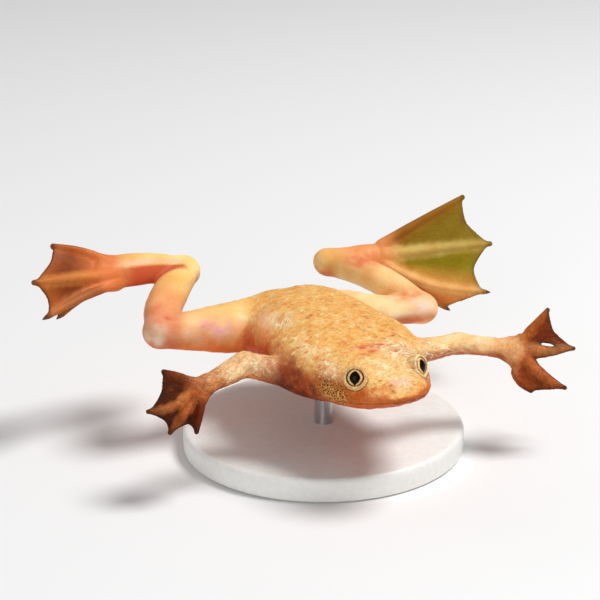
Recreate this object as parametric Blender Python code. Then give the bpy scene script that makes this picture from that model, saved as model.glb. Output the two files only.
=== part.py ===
# African dwarf frog, life size, held in its swimming pose on a plain display stand.
# Sizes are in millimetres until finish() turns each mesh into metres.
# The frog looks along -Y, its left side is +X, and the origin is under the middle of the stand.

import math

import bmesh
import bpy
import numpy as np
from mathutils import Matrix, Vector

MM = 0.001
GAP = 0.3
AXIS_HEIGHT = 13.0
STAND_Y = 4.0

# Head and torso: distance behind the snout, half width, top, level of the widest place, bottom
BODY_STATIONS = (
    (0.5, 1.80, 1.20, 0.55, 0.05),
    (1.4, 3.30, 1.65, 0.50, -0.35),
    (2.8, 4.55, 2.20, 0.40, -0.90),
    (4.4, 5.35, 2.80, 0.25, -1.50),
    (6.6, 6.10, 3.35, 0.05, -2.25),
    (9.6, 6.70, 3.85, -0.05, -2.80),
    (13.1, 7.50, 4.40, -0.10, -3.30),
    (17.1, 8.20, 4.90, -0.10, -4.10),
    (21.1, 8.40, 5.20, -0.10, -4.70),
    (25.1, 7.95, 5.10, -0.10, -4.70),
    (29.1, 6.50, 4.40, 0.00, -4.00),
    (32.6, 4.30, 3.30, 0.20, -2.60),
    (34.7, 2.00, 1.90, 0.40, -1.00),
)
BODY_LENGTH = 35.4
SNOUT_Y = -17.2
SECTION_POWER = 2.25
NECK_S = 9.4
HEAD_ROWS = 24
TORSO_ROWS = 22
GROWN_ROWS = 30

# Columns round the body, as angles up from level; three of them on each side make the mouth
SIDE_ANGLES = (76, 62, 49, 37, 26, 15, 5)
MOUTH_ANGLES = (-9, -14, -19)
BELLY_ANGLES = (-30, -42, -54, -66, -78)
MOUTH_CORNER_S = 7.2
MOUTH_FADE = 2.0
SNOUT_FADE = 0.8
SNOUT_SHARE = 0.3
MOUTH_DEPTH = 0.28
LIP_SWELL = 0.10

# Eyes, their mounds and the ring of skin round each
EYE = (3.60, -12.15, 1.90)
EYE_AXIS = (0.52, -0.66, 0.54)
EYE_RADIUS = 1.15
EYE_MOUND_HEIGHT = 0.30
EYE_MOUND_SPREAD = 1.7
EYE_RING_RADIUS = 1.25
EYE_RING_THICKNESS = 0.38
EYE_RING_RISE = 0.55
EYE_RING_GRID = (24, 8)
BALL_GRID = (20, 12)

# Shoulder mound on each side of the torso
SHOULDER_MOUND = (7.6, -2.8, 1.2)
SHOULDER_MOUND_HEIGHT = 1.2
SHOULDER_MOUND_SPREAD = 4.2

# Nostrils: small pits on top of the snout
NOSTRIL = (1.15, -16.1, 1.45)
NOSTRIL_RADIUS = 0.28
NOSTRIL_GRID = (10, 6)

# Joints of the limbs, from the middle of the body's axis
JOINTS = {
    "shoulder_right": (-5.0, -5.5, -0.3),
    "elbow_right": (-12.0, -0.3, 1.0),
    "wrist_right": (-17.3, -1.8, 0.0),
    "shoulder_left": (5.0, -5.5, 0.2),
    "elbow_left": (14.0, -4.0, 0.4),
    "wrist_left": (19.6, -5.9, -0.6),
    "hip_right": (-3.5, 13.0, 0.3),
    "knee_right": (-17.5, 11.6, 1.9),
    "heel_right": (-9.9, 22.8, 5.2),
    "hip_left": (3.5, 13.0, 0.3),
    "knee_left": (17.8, 12.4, -0.9),
    "heel_left": (9.9, 23.3, 3.2),
}

# Half widths and half heights of each length of limb, evenly spaced from root to end
UPPER_ARM = ((2.0, 1.55, 1.40), (2.0, 1.55, 1.35))
FOREARM = ((1.40, 1.35, 1.10), (1.35, 1.25, 0.95))
THIGH = ((3.7, 3.3, 2.6, 2.1), (3.4, 2.75, 2.1, 2.0))
SHANK = {
    "right": ((2.05, 2.35, 2.2, 1.85), (2.0, 2.3, 2.1, 1.8)),
    "left": ((2.05, 2.0, 1.9, 1.7), (2.0, 1.9, 1.85, 1.65)),
}
SHANK_BOW = {"right": (-0.4, 0.0, 0.0), "left": (0.0, 0.0, 1.1)}
TARSUS = ((1.75, 1.65, 1.80, 1.7), (1.70, 1.40, 1.0, 0.5))
TARSUS_BOW = {"right": 0.35, "left": 0.0}
PALM = ((1.10, 1.25, 1.30, 0.9), (0.95, 0.85, 0.65, 0.4))
LIMB_ROWS = 9
LIMB_SIDES = 16
CAP_ROWS = 3

# Webbed fans: the direction of the middle line, that of the back, how far from the joint the digits
# spread and how far behind that they would meet. Each digit, from the outer one, has its length, its
# angle from the line, the rise of its tip and its sideways bow. Each web has the depth of its scallop as
# a part of its length.
TOE_SIZES = {"width": (0.62, 0.34), "thickness": (0.62, 0.36), "setback": 4.0}
FINGER_SIZES = {"width": (0.55, 0.32), "thickness": (0.55, 0.34), "root": 2.3, "setback": 1.7}
FEET = {
    "right": {
        **TOE_SIZES,
        "line": (-0.970, -0.200, 0.130),
        "face": (0.235, -0.800, 0.550),
        "root": 10.6,
        "digits": (
            (8.0, 37, -1.2, 0),
            (11.3, 0, 0, 0),
            (11.1, -23, -0.5, 0),
            (8.0, -27, -2.0, 0),
            (3.0, -34, -2.5, 0),
        ),
        "scallops": (0.12, 0.11, 0.06, 0.06),
    },
    "left": {
        **TOE_SIZES,
        "line": (0.950, -0.310, 0.070),
        "face": (-0.290, -0.750, 0.600),
        "root": 7.6,
        "digits": (
            (13.2, 31, 0, 0),
            (14.1, 0, 0, 0),
            (13.9, -27, 0, 0),
            (10.4, -47, -1.5, 0),
            (6.5, -62, -2.0, 0),
        ),
        "scallops": (0.12, 0.16, 0.06, 0.06),
    },
}
HANDS = {
    "right": {
        **FINGER_SIZES,
        "line": (-0.900, -0.200, -0.330),
        "face": (0.000, -0.780, 0.620),
        "digits": ((4.4, 74, 0, 0), (5.8, 13, 0, 0), (5.5, -23, 0, 0), (4.6, -58, 0, 0)),
        "scallops": (0.25, 0.16, 0.28),
    },
    "left": {
        **FINGER_SIZES,
        "line": (0.880, -0.400, -0.200),
        "face": (-0.250, -0.750, 0.600),
        "digits": ((6.4, 71, 0, 0), (6.1, 16, 0, 0), (6.4, -32, 0, 0), (4.7, -74, 0, -1.1)),
        "scallops": (0.20, 0.78, 0.10),
    },
}
WEB_HALF_THICKNESS = 0.25
WEB_EDGE = 0.99
WEB_SAG = 1.2
WEB_TUCK = 0.03
WEB_COLUMNS = 6
ARCH_POWER = 1.6
FAN_ROWS = 9
DIGIT_ROWS = 6
DIGIT_SIDES = 8
DIGIT_BOW = 0.3

# Claws on the three inner toes of each hind foot
CLAW_TOES = (2, 3, 4)
CLAW_LENGTH = 1.1
CLAW_RADIUS = 0.32
CLAW_SINK = 0.7
CLAW_TIP_RADIUS = 0.05
CLAW_SIDES = 8

# Display stand
BASE_RADIUS = 17.0
BASE_THICKNESS = 3.0
BASE_BEVEL = 0.6
BASE_BEVEL_STEPS = 3
BASE_SIDES = 64
ROD_RADIUS = 1.1
ROD_SIDES = 24

SHARP_ANGLE = math.radians(50)
TINY = 1e-6


# Numbers along a row of stations, joined by smooth cubic stretches
def along(stations, values, at):
    x = np.asarray(stations, float)
    y = np.asarray(values, float)
    at = np.clip(np.asarray(at, float), x[0], x[-1])
    width = np.diff(x)
    slope = np.diff(y) / width
    tangent = np.empty_like(y)
    tangent[0] = slope[0]
    tangent[-1] = slope[-1]
    tangent[1:-1] = (slope[:-1] * width[1:] + slope[1:] * width[:-1]) / (width[1:] + width[:-1])
    i = np.clip(np.searchsorted(x, at) - 1, 0, len(width) - 1)
    t = (at - x[i]) / width[i]
    start = (2 * t**3 - 3 * t**2 + 1) * y[i] + (t**3 - 2 * t**2 + t) * width[i] * tangent[i]
    end = (3 * t**2 - 2 * t**3) * y[i + 1] + (t**3 - t**2) * width[i] * tangent[i + 1]
    return start + end


def unit(vector):
    vector = np.asarray(vector, float)
    return vector / np.linalg.norm(vector)


def mirrored(point, side):
    factor = 1.0 if side == "left" else -1.0
    return np.array((point[0] * factor, point[1], point[2]))


# Half width, top, widest level and bottom of the body, closing roundly at the snout and the vent
def body_section(s):
    stations = np.array(BODY_STATIONS)
    first = stations[0, 0]
    last = stations[-1, 0]
    half, top, middle, bottom = (along(stations[:, 0], stations[:, c], s) for c in (1, 2, 3, 4))
    front = np.sqrt(np.clip(1 - (np.clip(first - s, 0, None) / first) ** 2, 0, 1))
    rear = np.sqrt(np.clip(1 - (np.clip(s - last, 0, None) / (BODY_LENGTH - last)) ** 2, 0, 1))
    closing = front * rear
    return half * closing, middle + (top - middle) * closing, middle, middle + (bottom - middle) * closing


def body_angles():
    left = [90.0, *SIDE_ANGLES, *MOUTH_ANGLES, *BELLY_ANGLES, -90.0]
    right = [180.0 - angle for angle in reversed(left[1:-1])]
    return np.radians(np.array(left + right))


# Points of the body's outer surface at distances s, all round, grown outwards by a given amount
def body_points(s, grow):
    angles = body_angles()
    half, top, middle, bottom = body_section(s)
    cosine = np.sign(np.cos(angles)) * np.abs(np.cos(angles)) ** (2 / SECTION_POWER)
    sine = np.sign(np.sin(angles)) * np.abs(np.sin(angles)) ** (2 / SECTION_POWER)
    upper = np.clip(sine, 0, None)
    lower = np.clip(sine, None, 0)
    x = half[:, None] * cosine
    z = middle[:, None] + (top - middle)[:, None] * upper + (middle - bottom)[:, None] * lower
    y = np.broadcast_to(SNOUT_Y + s[:, None], x.shape)
    flat = np.broadcast_to(np.cos(angles), x.shape)
    steep = np.broadcast_to(np.sin(angles), x.shape)
    outward = np.stack([flat, np.zeros_like(x), steep], -1)
    points = np.stack([x, y, z], -1)
    for side in ("left", "right"):
        eye_away = np.linalg.norm(points - mirrored(EYE, side), axis=-1)
        shoulder_away = np.linalg.norm(points - mirrored(SHOULDER_MOUND, side), axis=-1)
        height = EYE_MOUND_HEIGHT * np.exp(-((eye_away / EYE_MOUND_SPREAD) ** 2))
        height += SHOULDER_MOUND_HEIGHT * np.exp(-((shoulder_away / SHOULDER_MOUND_SPREAD) ** 2))
        points = points + outward * height[..., None]
    return points + outward * (mouth_relief(s, angles) + grow)[..., None]


# Depth of the mouth's line and the swell of the lips beside it, fading out behind the corners
def mouth_relief(s, angles):
    fade = (np.clip((MOUTH_CORNER_S - s) / MOUTH_FADE, 0, 1) * np.clip(s / SNOUT_FADE, SNOUT_SHARE, 1))[:, None]
    below = np.degrees(np.where(np.cos(angles) < 0, math.pi - angles, angles))
    line = np.isclose(below, MOUTH_ANGLES[1])
    lips = np.isclose(below, MOUTH_ANGLES[0]) | np.isclose(below, MOUTH_ANGLES[2])
    return fade * (LIP_SWELL * lips - MOUTH_DEPTH * line)


# A closed mesh object from rings of points, each end closed by a fan or by a flat face
def object_from_rings(name, rings, start=None, end=None):
    bm = bmesh.new()
    loops = [[bm.verts.new(point) for point in ring] for ring in rings]
    count = len(loops[0])
    for near, far in zip(loops[:-1], loops[1:]):
        for i in range(count):
            j = (i + 1) % count
            bm.faces.new((near[i], near[j], far[j], far[i]))
    for loop, tip in ((loops[0], start), (loops[-1], end)):
        if tip is None:
            bm.faces.new(loop)
            continue
        pole = bm.verts.new(tip)
        for i in range(count):
            bm.faces.new((loop[i], loop[(i + 1) % count], pole))
    return object_from_bmesh(name, bm)


def object_from_bmesh(name, bm):
    bmesh.ops.recalc_face_normals(bm, faces=bm.faces)
    mesh = bpy.data.meshes.new(name)
    bm.to_mesh(mesh)
    bm.free()
    made = bpy.data.objects.new(name, mesh)
    bpy.context.scene.collection.objects.link(made)
    return made


# Cuts an object by a plane, keeps the side that the normal points away from and closes the cut
def trim(target, point, normal):
    bm = bmesh.new()
    bm.from_mesh(target.data)
    everything = bm.verts[:] + bm.edges[:] + bm.faces[:]
    bmesh.ops.bisect_plane(bm, geom=everything, dist=TINY, plane_co=point, plane_no=normal, clear_outer=True)
    open_edges = [edge for edge in bm.edges if edge.is_boundary]
    bmesh.ops.holes_fill(bm, edges=open_edges, sides=0)
    bmesh.ops.recalc_face_normals(bm, faces=bm.faces)
    bm.to_mesh(target.data)
    bm.free()


# Joins or cuts an object with a collection of closed ones, which are then removed
def combine(target, others, operation):
    group = bpy.data.collections.new(target.name + "_others")
    for other in others:
        group.objects.link(other)
    modifier = target.modifiers.new("combine", "BOOLEAN")
    modifier.operand_type = "COLLECTION"
    modifier.collection = group
    modifier.operation = operation
    modifier.solver = "EXACT"
    bpy.context.view_layer.update()
    evaluated = target.evaluated_get(bpy.context.evaluated_depsgraph_get())
    joined = bpy.data.meshes.new_from_object(evaluated)
    target.modifiers.clear()
    target.data = joined
    bpy.data.collections.remove(group)
    for other in others:
        bpy.data.objects.remove(other)
    keep_largest(target)


def keep_largest(target):
    bm = bmesh.new()
    bm.from_mesh(target.data)
    waiting = set(bm.faces)
    surfaces = []
    while waiting:
        grown = [waiting.pop()]
        for face in grown:
            for edge in face.edges:
                for near in edge.link_faces:
                    if near in waiting:
                        waiting.remove(near)
                        grown.append(near)
        surfaces.append(grown)
    surfaces.sort(key=lambda faces: sum(face.calc_area() for face in faces))
    scraps = [face for faces in surfaces[:-1] for face in faces]
    bmesh.ops.delete(bm, geom=scraps, context="FACES")
    bm.to_mesh(target.data)
    bm.free()


# Round bar along a smooth path, with rounded ends that go past its first and last point
def bar(name, points, half_widths, half_heights, facing, rows=LIMB_ROWS, sides=LIMB_SIDES):
    points = np.asarray(points, float)
    reach = np.concatenate([[0], np.cumsum(np.linalg.norm(np.diff(points, axis=0), axis=1))])
    at = np.linspace(0, reach[-1], rows)
    path = np.stack([along(reach, points[:, axis], at) for axis in range(3)], -1)
    size_at = np.linspace(0, reach[-1], len(half_widths))
    widths = along(size_at, half_widths, at)
    heights = along(size_at, half_heights, at)
    heading = np.gradient(path, axis=0)
    heading /= np.linalg.norm(heading, axis=1)[:, None]
    turn = np.arange(1, CAP_ROWS + 1) / (CAP_ROWS + 1) * math.pi / 2
    front = path[0] - heading[0] * widths[0] * np.sin(turn[::-1])[:, None]
    back = path[-1] + heading[-1] * widths[-1] * np.sin(turn)[:, None]
    path = np.vstack([front, path, back])
    start_tip = path[CAP_ROWS] - heading[0] * widths[0]
    end_tip = path[-CAP_ROWS - 1] + heading[-1] * widths[-1]
    shrink_in = np.cos(turn[::-1])
    shrink_out = np.cos(turn)
    widths = np.concatenate([widths[0] * shrink_in, widths, widths[-1] * shrink_out])
    heights = np.concatenate([heights[0] * shrink_in, heights, heights[-1] * shrink_out])
    heading = np.vstack([np.repeat(heading[:1], CAP_ROWS, 0), heading, np.repeat(heading[-1:], CAP_ROWS, 0)])
    across = np.cross(heading, unit(facing))
    across /= np.linalg.norm(across, axis=1)[:, None]
    normal = np.cross(across, heading)
    angles = np.linspace(0, 2 * math.pi, sides, endpoint=False)
    wide = (widths[:, None] * np.cos(angles))[..., None] * across[:, None]
    high = (heights[:, None] * np.sin(angles))[..., None] * normal[:, None]
    return object_from_rings(name, path[:, None] + wide + high, start_tip, end_tip)


def joint(name, side):
    return np.array(JOINTS[name + "_" + side])


# Direction along which two lengths of a limb are parted at a joint, from the first to the second
def parting(before, at, after):
    return unit(unit(after - at) - unit(before - at))


def spread(start, end, count):
    return [start + (end - start) * i / (count - 1) for i in range(count)]


# The same points with those between the ends moved by the bow
def bowed(points, bow):
    return [points[0], *[point + np.array(bow) for point in points[1:-1]], points[-1]]


# Body

def make_head_and_torso():
    near = (1 - np.cos(np.linspace(0, math.pi / 2, HEAD_ROWS + 1))) * NECK_S
    far = NECK_S + np.sin(np.linspace(0, math.pi / 2, TORSO_ROWS + 1)) * (BODY_LENGTH - NECK_S)
    head_s = np.concatenate([near[1:-1], [NECK_S - GAP / 2]])
    torso_s = np.concatenate([[NECK_S + GAP / 2], far[1:-1]])
    snout = (0.0, SNOUT_Y, float(body_section(np.zeros(1))[2][0]))
    vent = (0.0, SNOUT_Y + BODY_LENGTH, float(body_section(np.array([BODY_LENGTH]))[2][0]))
    head = object_from_rings("head", body_points(head_s, 0.0), start=snout)
    torso = object_from_rings("torso", body_points(torso_s, 0.0), end=vent)
    return head, torso


# The body's outer surface with the gap added, which cuts the roots of the limbs
def make_grown_body():
    s = (1 - np.cos(np.linspace(0, math.pi, GROWN_ROWS))) / 2 * BODY_LENGTH
    rings = body_points(s[1:-1], GAP)
    middle = body_section(s)[2]
    start = (0.0, SNOUT_Y - GAP, float(middle[0]))
    end = (0.0, SNOUT_Y + BODY_LENGTH + GAP, float(middle[-1]))
    return object_from_rings("grown_body", rings, start, end)


def ball(name, centre, radius, segments=BALL_GRID[0], rings=BALL_GRID[1]):
    bm = bmesh.new()
    bmesh.ops.create_uvsphere(bm, u_segments=segments, v_segments=rings, radius=radius)
    bmesh.ops.translate(bm, verts=bm.verts, vec=Vector(centre))
    return object_from_bmesh(name, bm)


def ring(name, centre, axis, radius, thickness):
    segments, sides = EYE_RING_GRID
    turn = Vector(axis).to_track_quat("Z", "Y").to_matrix()
    bm = bmesh.new()
    loops = []
    for i in range(segments):
        around = 2 * math.pi * i / segments
        loop = []
        for j in range(sides):
            about = 2 * math.pi * j / sides
            out = radius + thickness * math.cos(about)
            point = Vector((out * math.cos(around), out * math.sin(around), thickness * math.sin(about)))
            loop.append(bm.verts.new(turn @ point + Vector(centre)))
        loops.append(loop)
    for i in range(segments):
        for j in range(sides):
            k = (j + 1) % sides
            after = loops[(i + 1) % segments]
            bm.faces.new((loops[i][j], loops[i][k], after[k], after[j]))
    return object_from_bmesh(name, bm)


def finish_head(head):
    rings = []
    pits = []
    eyes = []
    for side in ("left", "right"):
        centre = mirrored(EYE, side)
        axis = unit(mirrored(EYE_AXIS, side))
        lid_centre = centre + axis * EYE_RING_RISE
        rings.append(ring("lid_" + side, lid_centre, axis, EYE_RING_RADIUS, EYE_RING_THICKNESS))
        pits.append(ball("socket_" + side, centre, EYE_RADIUS + GAP))
        pits.append(ball("nostril_" + side, mirrored(NOSTRIL, side), NOSTRIL_RADIUS, *NOSTRIL_GRID))
        eyes.append(ball("eye_" + side, centre, EYE_RADIUS))
    combine(head, rings, "UNION")
    combine(head, pits, "DIFFERENCE")
    return eyes


# Fan of webbed digits

# The fan's own directions: along its middle, across it towards the outer digit and out of its back
def fan_directions(side, sizes):
    line = unit(sizes["line"])
    face = unit(np.array(sizes["face"]) - line * np.dot(line, sizes["face"]))
    across = np.cross(face, line) if side == "left" else np.cross(line, face)
    return line, across, face


# Digits from the outer to the inner one, each an even run of points from its root to its tip
def digit_lines(root, directions, sizes):
    line, across, face = directions
    centre = root - line * sizes["setback"]
    u = np.linspace(0, 1, FAN_ROWS)[:, None]
    lines = []
    for length, angle, rise, bow in sizes["digits"]:
        turn = math.radians(angle)
        beside = across * math.cos(turn) - line * math.sin(turn)
        tip = root + (line * math.cos(turn) + across * math.sin(turn)) * length + face * rise
        end = tip - unit(tip - centre) * sizes["width"][-1]
        start = centre + unit(tip - centre) * sizes["setback"]
        lines.append(start + (end - start) * u + (face * DIGIT_BOW + beside * bow) * np.sin(math.pi * u))
    return np.array(lines)


# Thin closed sheet between two digits, with two like faces and a scalloped margin
def web(name, near, far, scallop, face):
    normal = unit(np.cross(near[-1] - near[0] + far[-1] - far[0], far[-1] - near[-1]))
    lift = normal * np.sign(np.dot(normal, face)) * WEB_HALF_THICKNESS
    u = np.linspace(0, 1, FAN_ROWS)
    bm = bmesh.new()
    top = []
    bottom = []
    for i in range(WEB_COLUMNS):
        part = i / (WEB_COLUMNS - 1)
        arch = 1 - abs(2 * part - 1) ** ARCH_POWER
        reach = u * (WEB_EDGE - scallop * arch)
        tucked = part * (1 + 2 * WEB_TUCK) - WEB_TUCK
        ruled = near * (1 - tucked) + far * tucked
        middle = np.stack([np.interp(reach, u, ruled[:, axis]) for axis in range(3)], -1)
        middle = middle - lift * (WEB_SAG * arch * np.sin(math.pi * u))[:, None]
        top.append([bm.verts.new(point) for point in middle + lift])
        bottom.append([bm.verts.new(point) for point in middle - lift])
    for i in range(WEB_COLUMNS - 1):
        for j in range(FAN_ROWS - 1):
            for grid in (top, bottom):
                bm.faces.new((grid[i][j], grid[i + 1][j], grid[i + 1][j + 1]))
                bm.faces.new((grid[i][j], grid[i + 1][j + 1], grid[i][j + 1]))
    edge = [(i, 0) for i in range(WEB_COLUMNS)]
    edge += [(WEB_COLUMNS - 1, j) for j in range(1, FAN_ROWS)]
    edge += [(i, FAN_ROWS - 1) for i in range(WEB_COLUMNS - 2, -1, -1)]
    edge += [(0, j) for j in range(FAN_ROWS - 2, 0, -1)]
    for (a, b), (c, d) in zip(edge, edge[1:] + edge[:1]):
        bm.faces.new((top[a][b], top[c][d], bottom[c][d], bottom[a][b]))
    return object_from_bmesh(name, bm)


# Round bars for the digits and thin sheets for the webs, each a closed piece
def fan_pieces(name, lines, directions, sizes):
    face = directions[2]
    pieces = []
    for k, digit in enumerate(lines):
        digit_name = "%s_digit_%d" % (name, k)
        pieces.append(bar(digit_name, digit, sizes["width"], sizes["thickness"], face, DIGIT_ROWS, DIGIT_SIDES))
    for k, scallop in enumerate(sizes["scallops"]):
        pieces.append(web("%s_web_%d" % (name, k), lines[k], lines[k + 1], scallop, face))
    return pieces


def claw(name, root, heading):
    bm = bmesh.new()
    bmesh.ops.create_cone(
        bm, cap_ends=True, segments=CLAW_SIDES, radius1=CLAW_RADIUS, radius2=CLAW_TIP_RADIUS, depth=CLAW_LENGTH
    )
    turn = Vector(heading).to_track_quat("Z", "Y").to_matrix().to_4x4()
    middle = Vector(root) + Vector(heading) * (CLAW_LENGTH / 2)
    bmesh.ops.transform(bm, matrix=Matrix.Translation(middle) @ turn, verts=bm.verts)
    return object_from_bmesh(name, bm)


def make_foot(side):
    sizes = FEET[side]
    directions = fan_directions(side, sizes)
    heel = joint("heel", side)
    root = heel + directions[0] * sizes["root"]
    path = bowed(spread(heel, root, len(TARSUS[0])), directions[1] * TARSUS_BOW[side])
    foot = bar("foot_" + side, path, *TARSUS, directions[2])
    apart = parting(joint("knee", side), heel, root)
    trim(foot, heel + apart * GAP / 2, -apart)
    lines = digit_lines(root, directions, sizes)
    pieces = fan_pieces(foot.name, lines, directions, sizes)
    for k in CLAW_TOES:
        heading = unit(lines[k][-1] - lines[k][-2])
        pieces.append(claw("%s_claw_%d" % (foot.name, k), lines[k][-1] - heading * CLAW_SINK, heading))
    combine(foot, pieces, "UNION")
    return foot


def make_hand(side):
    sizes = HANDS[side]
    directions = fan_directions(side, sizes)
    wrist = joint("wrist", side)
    root = wrist + directions[0] * sizes["root"]
    hand = bar("hand_" + side, spread(wrist, root, len(PALM[0])), *PALM, directions[2])
    apart = parting(joint("elbow", side), wrist, root)
    trim(hand, wrist + apart * GAP / 2, -apart)
    lines = digit_lines(root, directions, sizes)
    combine(hand, fan_pieces(hand.name, lines, directions, sizes), "UNION")
    return hand


# A length of limb between two joints, parted from its neighbours by half the gap
def make_limb(name, sizes, start, end, before=None, after=None, bow=(0.0, 0.0, 0.0)):
    limb = bar(name, bowed(spread(start, end, len(sizes[0])), bow), *sizes, (0.0, 0.0, 1.0))
    if before is not None:
        apart = parting(before, start, end)
        trim(limb, start + apart * GAP / 2, -apart)
    apart = parting(start, end, after)
    trim(limb, end - apart * GAP / 2, apart)
    return limb


def make_limbs(side):
    shoulder, elbow, wrist = (joint(name, side) for name in ("shoulder", "elbow", "wrist"))
    hip, knee, heel = (joint(name, side) for name in ("hip", "knee", "heel"))
    palm = wrist + unit(HANDS[side]["line"])
    tarsus = heel + unit(FEET[side]["line"])
    upper_arm = make_limb("upper_arm_" + side, UPPER_ARM, shoulder, elbow, after=wrist)
    forearm = make_limb("forearm_" + side, FOREARM, elbow, wrist, before=shoulder, after=palm)
    thigh = make_limb("thigh_" + side, THIGH, hip, knee, after=heel)
    shank = make_limb("shank_" + side, SHANK[side], knee, heel, before=hip, after=tarsus, bow=SHANK_BOW[side])
    combine(upper_arm, [make_grown_body()], "DIFFERENCE")
    combine(thigh, [make_grown_body()], "DIFFERENCE")
    return {
        "shoulder": upper_arm,
        "elbow": forearm,
        "wrist": make_hand(side),
        "hip": thigh,
        "knee": shank,
        "heel": make_foot(side),
    }


# Display stand: a round base and one rod up to the belly

def make_stand():
    bm = bmesh.new()
    bmesh.ops.create_cone(
        bm, cap_ends=True, segments=BASE_SIDES, radius1=BASE_RADIUS, radius2=BASE_RADIUS, depth=BASE_THICKNESS
    )
    bmesh.ops.translate(bm, verts=bm.verts, vec=(0, STAND_Y, BASE_THICKNESS / 2 - AXIS_HEIGHT))
    rim = [edge for edge in bm.edges if abs(edge.verts[0].co.z - edge.verts[1].co.z) < TINY]
    rim = [edge for edge in rim if edge.verts[0].co.z > BASE_THICKNESS / 2 - AXIS_HEIGHT]
    bmesh.ops.bevel(bm, geom=rim, offset=BASE_BEVEL, segments=BASE_BEVEL_STEPS, profile=0.5, affect="EDGES")
    base = object_from_bmesh("stand_base", bm)
    belly = float(body_section(np.array([STAND_Y - SNOUT_Y]))[3][0])
    foot_level = BASE_THICKNESS - AXIS_HEIGHT + GAP
    length = belly - GAP - foot_level
    bm = bmesh.new()
    bmesh.ops.create_cone(
        bm, cap_ends=True, segments=ROD_SIDES, radius1=ROD_RADIUS, radius2=ROD_RADIUS, depth=length
    )
    bmesh.ops.translate(bm, verts=bm.verts, vec=(0, STAND_Y, foot_level + length / 2))
    return base, object_from_bmesh("stand_rod", bm)


# Materials and placing

def material(name, colour, roughness, metallic=0.0):
    made = bpy.data.materials.new(name)
    made.use_nodes = True
    shader = made.node_tree.nodes["Principled BSDF"]
    shader.inputs["Base Color"].default_value = (*colour, 1.0)
    shader.inputs["Roughness"].default_value = roughness
    shader.inputs["Metallic"].default_value = metallic
    made.diffuse_color = (*colour, 1.0)
    return made


# Turns a mesh into metres with the object's origin at its joint
def finish(target, origin, look):
    place = Vector(origin)
    target.data.transform(Matrix.Scale(MM, 4) @ Matrix.Translation(-place))
    target.location = (place + Vector((0, -STAND_Y, AXIS_HEIGHT))) * MM
    target.data.materials.clear()
    target.data.materials.append(look)
    target.data.shade_smooth()
    target.data.set_sharp_from_angle(angle=SHARP_ANGLE)


def main():
    for old in list(bpy.data.objects):
        bpy.data.objects.remove(old)
    back = material("golden_skin", (0.72, 0.47, 0.24), 0.35)
    limb = material("peach_skin", (0.74, 0.48, 0.34), 0.35)
    hand = material("brown_web", (0.28, 0.10, 0.06), 0.35)
    foot = material("olive_web", (0.42, 0.27, 0.12), 0.35)
    eye = material("dark_eye", (0.02, 0.015, 0.015), 0.08)
    base = material("stand_white", (0.80, 0.80, 0.78), 0.5)
    rod = material("stand_steel", (0.60, 0.60, 0.60), 0.3, 1.0)
    head, torso = make_head_and_torso()
    for made, side in zip(finish_head(head), ("left", "right")):
        finish(made, mirrored(EYE, side), eye)
    finish(head, (0, SNOUT_Y + NECK_S, 0), back)
    finish(torso, (0, SNOUT_Y + NECK_S, 0), back)
    looks = {"wrist": hand, "heel": foot}
    for side in ("left", "right"):
        for name, made in make_limbs(side).items():
            finish(made, joint(name, side), looks.get(name, limb))
    for made, look in zip(make_stand(), (base, rod)):
        finish(made, (0, STAND_Y, -AXIS_HEIGHT), look)


main()
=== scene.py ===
import math

import bmesh
import bpy
import numpy as np
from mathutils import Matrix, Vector


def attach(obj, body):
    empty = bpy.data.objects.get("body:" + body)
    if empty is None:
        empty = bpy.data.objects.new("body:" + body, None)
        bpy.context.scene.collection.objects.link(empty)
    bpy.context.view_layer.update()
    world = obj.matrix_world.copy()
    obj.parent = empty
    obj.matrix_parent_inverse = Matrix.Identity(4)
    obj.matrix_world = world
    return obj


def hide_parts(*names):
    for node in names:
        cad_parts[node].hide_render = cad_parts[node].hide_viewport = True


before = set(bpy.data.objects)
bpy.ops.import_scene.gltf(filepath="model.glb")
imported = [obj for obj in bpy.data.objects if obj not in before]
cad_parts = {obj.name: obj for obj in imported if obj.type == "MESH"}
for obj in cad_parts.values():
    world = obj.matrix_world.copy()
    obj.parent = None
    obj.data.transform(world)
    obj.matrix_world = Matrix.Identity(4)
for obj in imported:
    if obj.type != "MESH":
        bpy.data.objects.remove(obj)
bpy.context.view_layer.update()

# African dwarf frog in its swimming pose on a plain stand.
# Shapes are worked out in millimetres from the middle of the body's axis, then put in the frame.
mm = 0.001
axisPlace = np.array([0.0, -4.0, 13.0])


# Numbers at the given stations, joined by smooth cubic stretches with sliding slopes
def alongCurve(stations, values, at):
    x = np.asarray(stations, float)
    y = np.asarray(values, float)
    at = np.clip(np.asarray(at, float), x[0], x[-1])
    width = np.diff(x)
    slope = np.diff(y) / width
    tangent = np.empty_like(y)
    tangent[0] = slope[0]
    tangent[-1] = slope[-1]
    tangent[1:-1] = (slope[:-1] * width[1:] + slope[1:] * width[:-1]) / (width[1:] + width[:-1])
    i = np.clip(np.searchsorted(x, at) - 1, 0, len(width) - 1)
    t = (at - x[i]) / width[i]
    start = (2 * t**3 - 3 * t**2 + 1) * y[i] + (t**3 - 2 * t**2 + t) * width[i] * tangent[i]
    return start + (3 * t**2 - 2 * t**3) * y[i + 1] + (t**3 - t**2) * width[i] * tangent[i + 1]


def unit(vector):
    vector = np.asarray(vector, float)
    return vector / np.linalg.norm(vector)


def onSide(point, side):
    return np.array(point, float) * (1.0 if side == "left" else -1.0, 1.0, 1.0)


# 0 below start, 1 above end, an S curve between
def easeStep(start, end, values):
    t = np.clip((values - start) / (end - start), 0, 1)
    return t * t * (3 - 2 * t)


# Bell of height 1 at a point, with the given spread, a number or one for each axis
def bell(points, centre, spread):
    away = (points - np.asarray(centre, float)) / np.asarray(spread, float)
    return np.exp(-np.sum(away * away, -1))


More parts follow.
